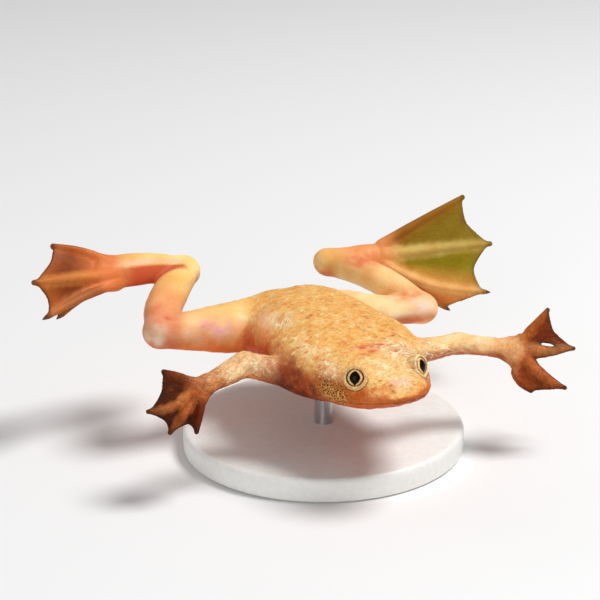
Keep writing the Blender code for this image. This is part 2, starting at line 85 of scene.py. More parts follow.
# The lesser of two distances, with a fillet about as wide as blend where they meet
def softJoin(a, b, blend):
    h = np.clip(0.5 + 0.5 * (b - a) / blend, 0, 1)
    return b + (a - b) * h - blend * h * (1 - h)


# The greater of two distances, with a soft edge
def softCut(a, b, blend):
    return -softJoin(-a, -b, blend)


# Smooth lumps: a sum of sine waves of one length, in random directions with random phases
def waves(points, length, count, seed):
    draw = np.random.default_rng(seed)
    directions = draw.normal(size=(count, 3))
    directions /= np.linalg.norm(directions, axis=1)[:, None]
    lengths = length * draw.uniform(0.75, 1.35, count)
    phases = draw.uniform(0, 2 * math.pi, count)
    total = np.zeros(len(points), np.float32)
    for direction, size, phase in zip(directions, lengths, phases):
        total += np.sin((points @ direction * (2 * math.pi / size) + phase).astype(np.float32))
    return total / math.sqrt(count / 2)


# Body: distance behind the snout, half width, top, level of the widest place, bottom
bodyShape = {
    "stations": (
        (0.5, 1.80, 1.20, 0.55, 0.05),
        (1.4, 3.30, 1.65, 0.50, -0.55),
        (2.8, 4.60, 2.20, 0.40, -1.15),
        (4.4, 5.40, 2.80, 0.25, -1.75),
        (6.6, 6.10, 3.35, 0.05, -2.35),
        (9.6, 6.70, 3.85, -0.05, -2.80),
        (13.1, 7.50, 4.40, -0.10, -3.30),
        (17.1, 8.20, 4.90, -0.10, -4.10),
        (21.1, 8.40, 5.20, -0.10, -4.70),
        (25.1, 7.95, 5.25, -0.10, -4.70),
        (29.1, 6.50, 4.70, 0.00, -4.00),
        (32.6, 4.30, 3.45, 0.20, -2.60),
        (34.7, 2.00, 1.90, 0.40, -1.00),
    ),
    "snoutY": -17.2,
    "length": 35.4,
    "power": 2.25,
    "tableSteps": 600,
    "shoulder": (7.6, -2.8, 1.2),
    "shoulderHeight": 1.2,
    "shoulderSpread": 4.2,
    "gradientStep": 0.03,
}


def bodyTable():
    stations = np.array(bodyShape["stations"])
    s = np.linspace(stations[0, 0], stations[-1, 0], bodyShape["tableSteps"])
    columns = [alongCurve(stations[:, 0], stations[:, c], s) for c in (1, 2, 3, 4)]
    return {"s": s, "half": columns[0], "top": columns[1], "middle": columns[2], "bottom": columns[3]}


bodySizes = bodyTable()


# Half width, height above the widest level, that level and depth below it, at places along the body
def bodySection(s):
    names = ("half", "top", "middle", "bottom")
    half, top, middle, bottom = (np.interp(s, bodySizes["s"], bodySizes[name]) for name in names)
    return half, top - middle, middle, middle - bottom


# 1 on the body's surface: the root of the section's rounded-box number squared, plus the squared share
# of the way past the first or the last station
def bodyNumber(points):
    s = points[:, 1] - bodyShape["snoutY"]
    first = bodySizes["s"][0]
    last = bodySizes["s"][-1]
    half, up, middle, down = bodySection(s)
    rise = points[:, 2] - middle
    power = bodyShape["power"]
    across = np.abs(points[:, 0]) / half
    high = np.abs(rise) / np.where(rise > 0, up, down)
    past = np.clip(first - s, 0, None) / first + np.clip(s - last, 0, None) / (bodyShape["length"] - last)
    return np.sqrt((across**power + high**power) ** (2 / power) + past**2)


# Distance to the body: its number less 1, over the number's slope
def bodyDistance(points):
    step = bodyShape["gradientStep"]
    here = bodyNumber(points)
    slope = np.stack([bodyNumber(points + step * np.eye(3)[axis]) - here for axis in range(3)], -1) / step
    distance = (here - 1) / np.clip(np.linalg.norm(slope, axis=1), 0.04, None)
    for side in ("left", "right"):
        mound = bell(points, onSide(bodyShape["shoulder"], side), bodyShape["shoulderSpread"])
        distance = distance - bodyShape["shoulderHeight"] * mound
    return distance


# Limbs: joints, then half widths and half heights evenly spaced from root to end
joints = {
    "shoulder": {"right": (-5.0, -5.5, -0.3), "left": (5.0, -5.5, 1.0)},
    "elbow": {"right": (-12.0, -0.3, 1.0), "left": (14.0, -4.0, 0.55)},
    "wrist": {"right": (-17.3, -1.8, 0.0), "left": (19.6, -5.9, -0.5)},
    "hip": {"right": (-3.5, 13.0, 0.3), "left": (3.5, 13.0, 0.3)},
    "knee": {"right": (-17.75, 11.7, 1.9), "left": (17.8, 12.4, -0.9)},
    "heel": {"right": (-10.1, 22.8, 5.05), "left": (9.9, 23.3, 3.2)},
}
limbShape = {
    "upperArm": {
        "right": ((2.0, 1.65, 1.45), (2.0, 1.60, 1.38)),
        "left": ((1.8, 1.50, 1.30), (1.6, 1.35, 1.16)),
    },
    "forearm": {
        "right": ((1.42, 1.38, 1.12), (1.38, 1.28, 0.98)),
        "left": ((1.32, 1.30, 1.20), (1.18, 1.16, 1.12)),
    },
    "palm": {
        "right": ((1.10, 1.25, 1.30, 0.9), (0.95, 0.85, 0.65, 0.4)),
        "left": ((1.25, 1.75, 1.90, 1.1), (0.98, 0.85, 0.65, 0.4)),
    },
    "thigh": {
        "right": ((3.7, 3.3, 2.6, 2.1), (3.4, 3.1, 2.45, 2.0)),
        "left": ((3.7, 3.3, 2.5, 2.1), (3.4, 2.65, 1.80, 1.95)),
    },
    "shank": {
        "right": ((1.80, 2.25, 2.2, 1.85), (1.85, 2.25, 2.1, 1.8)),
        "left": ((1.85, 1.95, 1.9, 1.7), (1.85, 1.85, 1.85, 1.65)),
    },
    "thighBow": {"right": (0.0, 0.0, -0.2), "left": (0.0, 0.0, 0.0)},
    "shankBow": {"right": (-0.75, 0.1, 0.0), "left": (0.0, 0.0, 0.95)},
    "tarsus": {
        "right": ((1.80, 1.90, 2.05, 2.10), (1.70, 1.45, 1.05, 0.5)),
        "left": ((1.75, 1.65, 1.80, 1.7), (1.70, 1.40, 1.0, 0.5)),
    },
    "tarsusBow": {"right": 0.35, "left": 0.0},
    "rings": 9,
    "jointBlend": 0.5,
    "armBlend": 1.0,
    "legBlend": 1.6,
    "margin": 2.5,
}

# Webbed fans, as lengths, angles from the fan's line, rises of the tips and sideways bows of the digits.
# A hole in a web is given by its place ahead of and beside the fan's apex, its turn and half sizes.
toeSizes = {"width": (0.62, 0.34), "height": (0.62, 0.36), "setback": 4.0}
fingerSizes = {"width": (0.55, 0.26), "height": (0.55, 0.28), "setback": 1.7, "root": 2.3}
fans = {
    "footright": {
        **toeSizes,
        "line": (-0.970, -0.200, 0.185),
        "face": (0.235, -0.800, 0.550),
        "root": 10.6,
        "digits": (
            (8.1, 29, -1.2, 0.3),
            (11.4, -5.6, 0, 0),
            (11.3, -27.6, -0.5, 0.2),
            (9.3, -32.2, -1.0, 0.6),
            (3.6, -31, -0.7, 0),
        ),
        "scallops": (0.12, 0.08, 0.00, 0.06),
    },
    "footleft": {
        **toeSizes,
        "line": (0.950, -0.310, 0.070),
        "face": (-0.290, -0.750, 0.600),
        "root": 7.6,
        "digits": (
            (13.4, 31, 0, 0),
            (14.1, 0, 0, 0),
            (13.9, -28, 0, -1.1),
            (10.4, -47, -1.5, 0),
            (6.5, -62, -2.0, 0),
        ),
        "scallops": (0.12, 0.14, 0.05, 0.06),
    },
    "handright": {
        **fingerSizes,
        "line": (-0.900, -0.200, -0.330),
        "face": (0.000, -0.780, 0.620),
        "digits": ((4.4, 74, 0, 0), (5.8, 13, 0, -0.7), (5.5, -23, 0, 0), (4.6, -58, 0, 0)),
        "scallops": (0.25, 0.14, 0.28),
    },
    "handleft": {
        **fingerSizes,
        "line": (0.880, -0.400, -0.200),
        "face": (-0.250, -0.750, 0.600),
        "digits": ((6.4, 70.5, 0, 0), (6.15, 15.5, 0, -0.2), (6.5, -33.5, 0, -0.5), (5.0, -75, 0, -1.1)),
        "scallops": (0.25, 0.78, 0.10),
        "hole": (4.29, 1.30, -4, 0.90, 0.30),
    },
}
webShape = {
    "halfThickness": 0.15,
    "edge": 0.99,
    "sag": 0.30,
    "archPower": 1.6,
    "digitBow": 0.3,
    "digitRings": 7,
    "knuckle": 0.03,
    "digitBlend": 0.35,
    "palmBlend": 0.7,
}


def evenly(start, end, count):
    t = np.linspace(0, 1, count)[:, None]
    return np.asarray(start, float) * (1 - t) + np.asarray(end, float) * t


# A length of limb: rings along a path, each with a half width, a half height and its own directions
def makeBone(points, widths, heights, facing, rings=limbShape["rings"]):
    points = np.asarray(points, float)
    reach = np.concatenate([[0], np.cumsum(np.linalg.norm(np.diff(points, axis=0), axis=1))])
    at = np.linspace(0, reach[-1], rings)
    path = np.stack([alongCurve(reach, points[:, axis], at) for axis in range(3)], -1)
    sizeAt = np.linspace(0, reach[-1], len(widths))
    heading = np.diff(path, axis=0)
    heading /= np.linalg.norm(heading, axis=1)[:, None]
    across = np.cross(heading, unit(facing))
    across /= np.linalg.norm(across, axis=1)[:, None]
    widths = alongCurve(sizeAt, widths, at)
    heights = alongCurve(sizeAt, heights, at)
    pad = max(widths.max(), heights.max()) + limbShape["margin"]
    return {
        "path": path,
        "widths": widths,
        "heights": heights,
        "heading": heading,
        "across": across,
        "normal": np.cross(across, heading),
        "low": path.min(0) - pad,
        "high": path.max(0) + pad,
    }


# Distance to a bone: that to the nearest of its stretches, whose section is an ellipse. With k0 the
# place over the radii and k1 the place over the radii squared, an ellipse is k0 (k0 - 1) / k1 away.
def boneDistance(points, bone):
    nearest = np.full(len(points), 1e3)
    share = np.zeros(len(points))
    count = len(bone["heading"])
    for i in range(count):
        start = bone["path"][i]
        run = bone["path"][i + 1] - start
        offset = points - start
        t = np.clip(offset @ run / (run @ run), 0, 1)
        offset = offset - t[:, None] * run
        wide = bone["widths"][i] * (1 - t) + bone["widths"][i + 1] * t
        high = bone["heights"][i] * (1 - t) + bone["heights"][i + 1] * t
        parts = (
            offset @ bone["across"][i] / wide,
            offset @ bone["normal"][i] / high,
            offset @ bone["heading"][i] / wide,
        )
        k0 = np.sqrt(parts[0] ** 2 + parts[1] ** 2 + parts[2] ** 2) + 1e-9
        k1 = np.sqrt((parts[0] / wide) ** 2 + (parts[1] / high) ** 2 + (parts[2] / wide) ** 2) + 1e-9
        away = k0 * (k0 - 1) / k1
        closer = away < nearest
        nearest = np.where(closer, away, nearest)
        share = np.where(closer, (i + t) / count, share)
    return nearest, share


# A fan's directions, its apex where the digits' lines meet, and each digit in turn and reach about it
def makeFan(kind, side, joint):
    sizes = fans[kind + side]
    line = unit(sizes["line"])
    face = unit(np.array(sizes["face"]) - line * np.dot(line, sizes["face"]))
    across = np.cross(face, line) if side == "left" else np.cross(line, face)
    root = np.array(joint) + line * sizes["root"]
    apex = root - line * sizes["setback"]
    digits = []
    for length, angle, rise, bow in sizes["digits"]:
        turn = math.radians(angle)
        tip = root + (line * math.cos(turn) + across * math.sin(turn)) * length + face * rise
        away = tip - apex
        reach = math.hypot(away @ line, away @ across)
        digits.append({
            "turn": math.atan2(away @ across, away @ line),
            "reach": reach - sizes["width"][-1],
            "slope": away @ face / reach,
            "bow": bow,
        })
    fan = {"line": line, "across": across, "face": face, "root": root, "apex": apex, "digits": digits}
    fan.update(setback=sizes["setback"], scallops=sizes["scallops"], hole=sizes.get("hole"))
    fan["bones"] = [makeDigit(fan, digit, sizes) for digit in digits]
    fan["low"] = np.min([bone["low"] for bone in fan["bones"]], 0)
    fan["high"] = np.max([bone["high"] for bone in fan["bones"]], 0)
    return fan


# Turn of a digit at a reach from the apex: its own, plus the sideways bow over that reach
def digitTurn(digit, reach, setback):
    u = np.clip((reach - setback) / (digit["reach"] - setback), 0, 1)
    return digit["turn"] + digit["bow"] * np.sin(math.pi * u) / np.clip(reach, setback, None)


# A digit from the palm to its tip, with a knuckle swelling at each third
def makeDigit(fan, digit, sizes):
    u = np.linspace(0, 1, webShape["digitRings"])
    reach = fan["setback"] + (digit["reach"] - fan["setback"]) * u
    turn = digitTurn(digit, reach, fan["setback"])
    lift = reach * digit["slope"] + webShape["digitBow"] * np.sin(math.pi * u)
    flat = fan["line"] * np.cos(turn)[:, None] + fan["across"] * np.sin(turn)[:, None]
    path = fan["apex"] + flat * reach[:, None] + fan["face"] * lift[:, None]
    knuckles = webShape["knuckle"] * np.cos(3 * math.pi * u) ** 2 * (1 - u)
    widths = np.interp(u, (0, 1), sizes["width"]) + knuckles
    heights = np.interp(u, (0, 1), sizes["height"]) + knuckles
    return makeBone(path, widths, heights, fan["face"], webShape["digitRings"])


# Distance to a fan's webs. Each is a thin sheet over the sector between two digits, out to a margin
# that arches back between their tips. Also the share of the way across it and out along it.
def websDistance(points, fan):
    offset = points - fan["apex"]
    forward = offset @ fan["line"]
    sideways = offset @ fan["across"]
    reach = np.hypot(forward, sideways)
    turn = np.arctan2(sideways, forward)
    setback = fan["setback"]
    nearest = np.full(len(points), 1e3)
    margin = np.full(len(points), 1e3)
    for outer, inner, scallop in zip(fan["digits"][:-1], fan["digits"][1:], fan["scallops"]):
        outerTurn = digitTurn(outer, reach, setback)
        innerTurn = digitTurn(inner, reach, setback)
        part = np.clip((outerTurn - turn) / (outerTurn - innerTurn), 0, 1)
        arch = 1 - np.abs(2 * part - 1) ** webShape["archPower"]
        full = outer["reach"] * (1 - part) + inner["reach"] * part
        edge = setback + (full - setback) * (webShape["edge"] - scallop * arch)
        u = np.clip((reach - setback) / (full - setback), 0, 1)
        slope = outer["slope"] * (1 - part) + inner["slope"] * part
        lift = reach * slope + (webShape["digitBow"] - webShape["sag"] * arch) * np.sin(math.pi * u)
        thick = np.abs(offset @ fan["face"] - lift) - webShape["halfThickness"]
        past = (reach - edge) * 0.9
        beside = np.abs(turn - (outerTurn + (innerTurn - outerTurn) * part)) * reach
        behind = 0.6 * setback - reach
        walls = np.stack([thick, past, beside - 0.02, behind])
        outside = np.sqrt(np.sum(np.clip(walls, 0, None) ** 2, 0))
        away = np.where(outside > 0, outside, walls.max(0))
        margin = np.where(away < nearest, edge - reach, margin)
        nearest = np.minimum(nearest, away)
    if fan["hole"]:
        ahead, beside, angle, longHalf, shortHalf = fan["hole"]
        cosine, sine = math.cos(math.radians(angle)), math.sin(math.radians(angle))
        ahead, beside = forward - ahead, sideways - beside
        along, over = ahead * cosine + beside * sine, beside * cosine - ahead * sine
        past = (np.hypot(along / longHalf, over / shortHalf) - 1) * shortHalf
        nearest = softCut(nearest, -past, 0.05)
        margin = np.minimum(margin, np.clip(past, 0, None) * 1.5)
    return nearest, margin


def inBox(points, low, high):
    return np.all((points > low) & (points < high), 1)


# All the limbs: bones by name, and the fans that end them
def makeLimbs():
    bones = {}
    webs = {}
    for side in ("left", "right"):
        at = {name: np.array(place[side]) for name, place in joints.items()}
        hand = makeFan("hand", side, at["wrist"])
        foot = makeFan("foot", side, at["heel"])
        webs["hand" + side] = hand
        webs["foot" + side] = foot
        up = (0.0, 0.0, 1.0)
        thigh = evenly(at["hip"], at["knee"], 4)
        thigh[1:-1] += limbShape["thighBow"][side]
        shank = evenly(at["knee"], at["heel"], 4)
        shank[1:-1] += limbShape["shankBow"][side]
        tarsus = evenly(at["heel"], foot["root"], 4)
        tarsus[1:-1] += foot["across"] * limbShape["tarsusBow"][side]
        paths = {
            "upperArm": (evenly(at["shoulder"], at["elbow"], 3), up),
            "forearm": (evenly(at["elbow"], at["wrist"], 3), up),
            "palm": (evenly(at["wrist"], hand["root"], 4), hand["face"]),
            "thigh": (thigh, up),
            "shank": (shank, up),
            "tarsus": (tarsus, foot["face"]),
        }
        for name, (path, facing) in paths.items():
            bones[name + side] = makeBone(path, *limbShape[name][side], facing)
    return bones, webs


bones, webs = makeLimbs()


# Distance to one limb, its bones and webbed fan softly joined
def limbDistance(points, side, names, kind):
    distance = boneDistance(points, bones[names[0] + side])[0]
    for name in names[1:]:
        distance = softJoin(distance, boneDistance(points, bones[name + side])[0], limbShape["jointBlend"])
    fan = webs[kind + side]
    near = inBox(points, fan["low"], fan["high"])
    if near.any():
        local = points[near]
        digits = boneDistance(local, fan["bones"][0])[0]
        for bone in fan["bones"][1:]:
            digits = np.minimum(digits, boneDistance(local, bone)[0])
        webbed = softJoin(digits, websDistance(local, fan)[0], webShape["digitBlend"])
        distance[near] = softJoin(distance[near], webbed, webShape["palmBlend"])
    return distance


limbNames = {
    "hand": ("upperArm", "forearm", "palm"),
    "foot": ("thigh", "shank", "tarsus"),
}

# Eyes, lids, nostrils and mouth
faceShape = {
    "eye": (3.86, -12.38, 2.24),
    "eyeAxis": (0.50, -0.78, 0.33),
    "eyeRadius": 1.15,
    "socketPlay": 0.02,
    "capsule": (1.34, 0.45, 0.25),
    "mound": 0.30,
    "moundSpread": 1.7,
    "dent": (4.70, -13.75, 1.75),
    "dentDepth": 0.50,
    "dentSpread": 1.05,
    "opening": 0.95,
    "lidRadius": 1.16,
    "lidThickness": 0.20,
    "lidRise": 0.56,
    "lidBlend": 0.12,
    "lidGroove": (1.46, 0.10, 0.08),
    "nostril": (1.15, -16.2, 1.45),
    "nostrilRadius": 0.20,
    "mouthAngle": 14,
    "mouthCorner": 7.2,
    "mouthFade": 2.0,
    "mouthDepth": 0.13,
    "mouthWidth": 0.13,
    "lipSwell": 0.05,
    "lipOffset": 0.34,
    "lipWidth": 0.26,
}


# Height of the mouth's line at a distance behind the snout
def mouthLevel(s):
    _, _, middle, down = bodySection(s)
    return middle - down * math.sin(math.radians(faceShape["mouthAngle"])) ** (2 / bodyShape["power"])


# What the mouth adds to the distance: a groove on its line with a swelling lip above and below
def mouthRelief(points):
    s = points[:, 1] - bodyShape["snoutY"]
    above = points[:, 2] - mouthLevel(s)
    fade = np.clip((faceShape["mouthCorner"] - s) / faceShape["mouthFade"], 0, 1)
    groove = faceShape["mouthDepth"] * np.exp(-((above / faceShape["mouthWidth"]) ** 2))
    lips = np.exp(-(((np.abs(above) - faceShape["lipOffset"]) / faceShape["lipWidth"]) ** 2))
    return fade * (groove - faceShape["lipSwell"] * lips)


def eyeFrame(side):
    return onSide(faceShape["eye"], side), unit(onSide(faceShape["eyeAxis"], side))


# Distance of the ring of skin round an eye
def lidDistance(points, side):
    centre, axis = eyeFrame(side)
    offset = points - centre
    high = offset @ axis
    out = np.sqrt(np.clip(np.sum(offset * offset, 1) - high**2, 0, None))
    return np.hypot(out - faceShape["lidRadius"], high - faceShape["lidRise"]) - faceShape["lidThickness"]


# Fine relief of the skin: soft lumps all over, small warts on the head and back, folds on the arms
reliefShape = {
    "lumpLength": 3.4,
    "lumpHeight": 0.025,
    "wartLength": 1.0,
    "wartHeight": 0.022,
    "foldLength": 1.1,
    "foldHeight": 0.05,
    "waves": 14,
}


def skinRelief(points):
    lumps = waves(points, reliefShape["lumpLength"], reliefShape["waves"], 3) * reliefShape["lumpHeight"]
    warts = waves(points, reliefShape["wartLength"], reliefShape["waves"], 5) * reliefShape["wartHeight"]
    folds = 1 - np.abs(waves(points, reliefShape["foldLength"], reliefShape["waves"], 8))
    folds = folds * reliefShape["foldHeight"]
    arms = armZone(points)
    legs = easeStep(6.5, 8.5, np.abs(points[:, 0])) * easeStep(3.0, 6.0, points[:, 1])
    return (lumps + arms * folds + (1 - arms) * (1 - 0.85 * legs) * warts) * (1 - webZone(points))


# Distance to the whole skin
def skinDistance(points, withRelief=True):
    distance = bodyDistance(points)
    head = inBox(points, np.array([-8.0, -19.0, -5.0]), np.array([8.0, -7.0, 6.0]))
    if head.any():
        local = points[head]
        face = distance[head]
        for side in ("left", "right"):
            centre = onSide(faceShape["eye"], side)
            face = face - faceShape["mound"] * bell(local, centre, faceShape["moundSpread"])
            dent = bell(local, onSide(faceShape["dent"], side), faceShape["dentSpread"])
            face = face + faceShape["dentDepth"] * dent
        face = face + mouthRelief(local)
        distance[head] = face
    for kind, blend in (("foot", limbShape["legBlend"]), ("hand", limbShape["armBlend"])):
        for side in ("left", "right"):
            names = limbNames[kind]
            parts = [bones[name + side] for name in names] + [webs[kind + side]]
            low = np.min([part["low"] for part in parts], 0)
            high = np.max([part["high"] for part in parts], 0)
            near = inBox(points, low, high)
            if near.any():
                limb = limbDistance(points[near], side, names, kind)
                distance[near] = softJoin(distance[near], limb, blend)
    if head.any():
        local = points[head]
        face = distance[head]
        for side in ("left", "right"):
            centre, axis = eyeFrame(side)
            grooveRadius, grooveWidth, grooveDepth = faceShape["lidGroove"]
            high = (local - centre) @ axis
            out = np.sqrt(np.clip(np.sum((local - centre) ** 2, 1) - high**2, 0, None))
            front = easeStep(0.0, 0.3, high)
            face = face + grooveDepth * np.exp(-(((out - grooveRadius) / grooveWidth) ** 2)) * front
            capsuleRadius, capsuleRise, capsuleBlend = faceShape["capsule"]
            capsule = np.maximum(np.hypot(out, high) - capsuleRadius, high - capsuleRise)
            face = softJoin(face, capsule, capsuleBlend)
            face = softJoin(face, lidDistance(local, side), faceShape["lidBlend"])
            socket = np.linalg.norm(local - centre, axis=1) - faceShape["eyeRadius"] - faceShape["socketPlay"]
            face = softCut(face, -socket, 0.04)
            face = softCut(face, np.minimum(faceShape["opening"] - out, high), 0.06)
            nostril = np.linalg.norm(local - onSide(faceShape["nostril"], side), axis=1)
            face = softCut(face, faceShape["nostrilRadius"] - nostril, 0.12)
        distance[head] = face
    if withRelief:
        close = np.abs(distance) < 0.5
        if close.any():
            distance[close] -= skinRelief(points[close])
    return distance


# How much a place belongs to the arms, and how much to the thin webs and digits
def armZone(points):
    return np.clip(easeStep(7.0, 9.5, np.abs(points[:, 0])) * easeStep(4.0, 2.0, points[:, 1]), 0, 1)


def webZone(points):
    zone = np.zeros(len(points))
    for fan in webs.values():
        away = (points - fan["root"]) @ fan["line"]
        beside = np.linalg.norm(points - fan["root"], axis=1)
        size = max(digit["reach"] for digit in fan["digits"])
        zone = np.maximum(zone, easeStep(-1.0, 1.0, away) * easeStep(1.3 * size, 1.1 * size, beside))
    return zone


# Fills the samples where two corners of a cell touch only across a face or through its middle, because
# the surface would pinch there
def fillPinches(inside):
    here, there = slice(None, -1), slice(1, None)
    for _ in range(12):
        found = 0
        for flat in range(3):
            views = []
            for one, two in ((here, here), (here, there), (there, there), (there, here)):
                place = [one, two]
                place.insert(flat, slice(None))
                views.append(inside[tuple(place)])
            pinched = (views[0] == views[2]) & (views[1] == views[3]) & (views[0] != views[1])
            count = int(pinched.sum())
            if count:
                for view in views:
                    view |= pinched
            found += count
        for flip in ((0, 0), (0, 1), (1, 0), (1, 1)):
            pair = (here, there)
            ends = [pair] + [pair[::-1] if turned else pair for turned in flip]
            first = inside[tuple(end[0] for end in ends)]
            last = inside[tuple(end[1] for end in ends)]
            others = [
                inside[tuple(end[pick] for end, pick in zip(ends, picks))]
                for picks in ((0, 0, 1), (0, 1, 0), (1, 0, 0), (0, 1, 1), (1, 0, 1), (1, 1, 0))
            ]
            alone = first & last
            apart = ~first & ~last
            for other in others:
                alone &= ~other
                apart &= other
            pinched = alone | apart
            count = int(pinched.sum())
            if count:
                for view in (first, last, *others):
                    view |= pinched
            found += count
        if not found:
            break
    return inside


# Surface where a distance is nought. Samples are worked out only in blocks near it. Each cell with
# corners on both sides gets a vertex at the mean of its edges' crossings, and each grid edge that
# crosses the surface gets a quad of the vertices of its four cells.
def levelSurface(distance, low, high, step, perBlock):
    size = step * perBlock
    blocks = np.ceil((high - low) / size).astype(int)
    axes = [low[a] + (np.arange(blocks[a]) + 0.5) * size for a in range(3)]
    coarse = distance(np.stack(np.meshgrid(*axes, indexing="ij"), -1).reshape(-1, 3))
    values = np.where(coarse < 0, -1.0, 1.0).astype(np.float32).reshape(blocks)
    for axis in range(3):
        values = values.repeat(perBlock, axis)
    near = np.stack(np.unravel_index(np.flatnonzero(np.abs(coarse) < 1.15 * size), blocks), -1)
    inner = np.stack(np.meshgrid(*[np.arange(perBlock)] * 3, indexing="ij"), -1).reshape(-1, 3)
    for group in np.array_split(near, max(1, len(near) * len(inner) // 400000)):
        cells = (group[:, None] * perBlock + inner).reshape(-1, 3)
        values[tuple(cells.T)] = distance(low + (cells + 0.5) * step)
    inside = fillPinches(values < 0)
    values[inside & (values >= 0)] = -0.1 * step
    counts = np.array(values.shape)
    corners = np.stack(np.unravel_index(np.arange(8), (2, 2, 2)), -1)
    total = np.zeros(counts - 1, np.int8)
    for i, j, k in corners:
        total += inside[i:counts[0] - 1 + i, j:counts[1] - 1 + j, k:counts[2] - 1 + k]
    cell = np.argwhere((total > 0) & (total < 8))
    number = np.full(total.shape, -1, np.int32)
    number[tuple(cell.T)] = np.arange(len(cell))
    summed = np.zeros((len(cell), 3))
    crossings = np.zeros(len(cell))
    for axis in range(3):
        along = np.eye(3, dtype=int)[axis]
        for corner in corners[corners[:, axis] == 0]:
            start = cell + corner
            a = values[tuple(start.T)]
            b = values[tuple((start + along).T)]
            hit = (a < 0) != (b < 0)
            t = a[hit] / (a[hit] - b[hit])
            summed[hit] += start[hit] + t[:, None] * along
            crossings[hit] += 1
    vertices = low + (summed / crossings[:, None] + 0.5) * step
    quads = []
    for axis in range(3):
        one, two = (np.eye(3, dtype=int)[(axis + turn) % 3] for turn in (1, 2))
        nearSide = np.take(inside, range(counts[axis] - 1), axis)
        farSide = np.take(inside, range(1, counts[axis]), axis)
        start = np.argwhere(nearSide != farSide)
        quad = np.stack([number[tuple((start - shift).T)] for shift in (one + two, two, 0 * one, one)], -1)
        outward = inside[tuple(start.T)]
        quad[~outward] = quad[~outward][:, ::-1]
        quads.append(quad)
    return vertices, np.concatenate(quads)


# Moves points onto the surface: back along the distance's slope, by the distance over the slope squared
def ontoSurface(points, distance, rounds=2, step=0.02):
    for _ in range(rounds):
        here = distance(points)
        slope = np.stack([distance(points + step * np.eye(3)[a]) - here for a in range(3)], -1) / step
        square = np.clip(np.sum(slope * slope, 1), 0.3, None)
        move = np.clip(here / square, -0.1, 0.1)
        points = points - slope * move[:, None]
    return points


# A mesh object in the frame from points in millimetres
def meshObject(name, points, faces):
    mesh = bpy.data.meshes.new(name)
    mesh.from_pydata(((points + axisPlace) * mm).tolist(), [], faces)
    mesh.validate()
    mesh.shade_smooth()
    made = bpy.data.objects.new(name, mesh)
    bpy.context.scene.collection.objects.link(made)
    return made


# The mesh that an object's modifiers make takes the place of its own
def applyModifiers(target):
    evaluated = target.evaluated_get(bpy.context.evaluated_depsgraph_get())
    mesh = bpy.data.meshes.new_from_object(evaluated)
    target.modifiers.clear()
    target.data = mesh


def pointsOf(target):
    flat = np.empty(len(target.data.vertices) * 3)
    target.data.vertices.foreach_get("co", flat)
    return flat.reshape(-1, 3) / mm - axisPlace


skinGrid = {
    "step": 0.13,
    "quickStep": 0.24,
    "perBlock": 8,
    "low": (-32.5, -18.5, -7.0),
    "high": (32.0, 26.0, 12.5),
    "triangles": 194000,
    "face": ((0.0, -13.0, 1.0), (7.5, 5.5, 4.5)),
    "faceShare": 0.45,
}


# The skin is a level surface and not a grid of two parameters, because one such grid can't join the
# body, the limbs, the webs and the lids without a seam. It is closed, and thinned out away from the face.
def makeSkin():
    step = skinGrid["step"]
    low = np.array(skinGrid["low"])
    high = np.array(skinGrid["high"])
    vertices, quads = levelSurface(skinDistance, low, high, step, skinGrid["perBlock"])
    print("skin grid:", len(vertices), "vertices,", len(quads), "quads")
    skin = meshObject("frog_skin", vertices, quads.tolist())
    if 2 * len(quads) > skinGrid["triangles"]:
        group = skin.vertex_groups.new(name="thin out")
        middle, spread = skinGrid["face"]
        weights = 1 - (1 - skinGrid["faceShare"]) * bell(vertices, middle, spread)
        for weight in np.linspace(skinGrid["faceShare"], 1, 6):
            chosen = np.flatnonzero(np.abs(weights - weight) <= (1 - skinGrid["faceShare"]) / 10)
            group.add(chosen.tolist(), float(weight), "REPLACE")
        fewer = skin.modifiers.new("fewer", "DECIMATE")
        fewer.ratio = skinGrid["triangles"] / (2 * len(quads))
        fewer.vertex_group = group.name
        applyModifiers(skin)
    points = ontoSurface(pointsOf(skin), skinDistance)
    skin.data.vertices.foreach_set("co", ((points + axisPlace) * mm).ravel())
    skin.data.update()
    skin.data.shade_smooth()
    print("skin:", len(skin.data.vertices), "vertices,", len(skin.data.polygons), "faces")
    return skin


skin = makeSkin()
skinPoints = pointsOf(skin)


# Screen colours of 0 to 255 as linear light
def linear(colour):
    share = np.asarray(colour, float) / 255
    return np.where(share < 0.04045, share / 12.92, ((share + 0.055) / 1.055) ** 2.4)


def blendColour(colour, other, share):
    return colour + (np.asarray(other) - colour) * np.asarray(share)[:, None]


# Colours along a row of evenly spaced ones
def colourAlong(colours, at):
    table = np.array([linear(colour) for colour in colours])
    places = np.linspace(0, 1, len(table))
    return np.stack([np.interp(at, places, table[:, c]) for c in range(3)], -1)


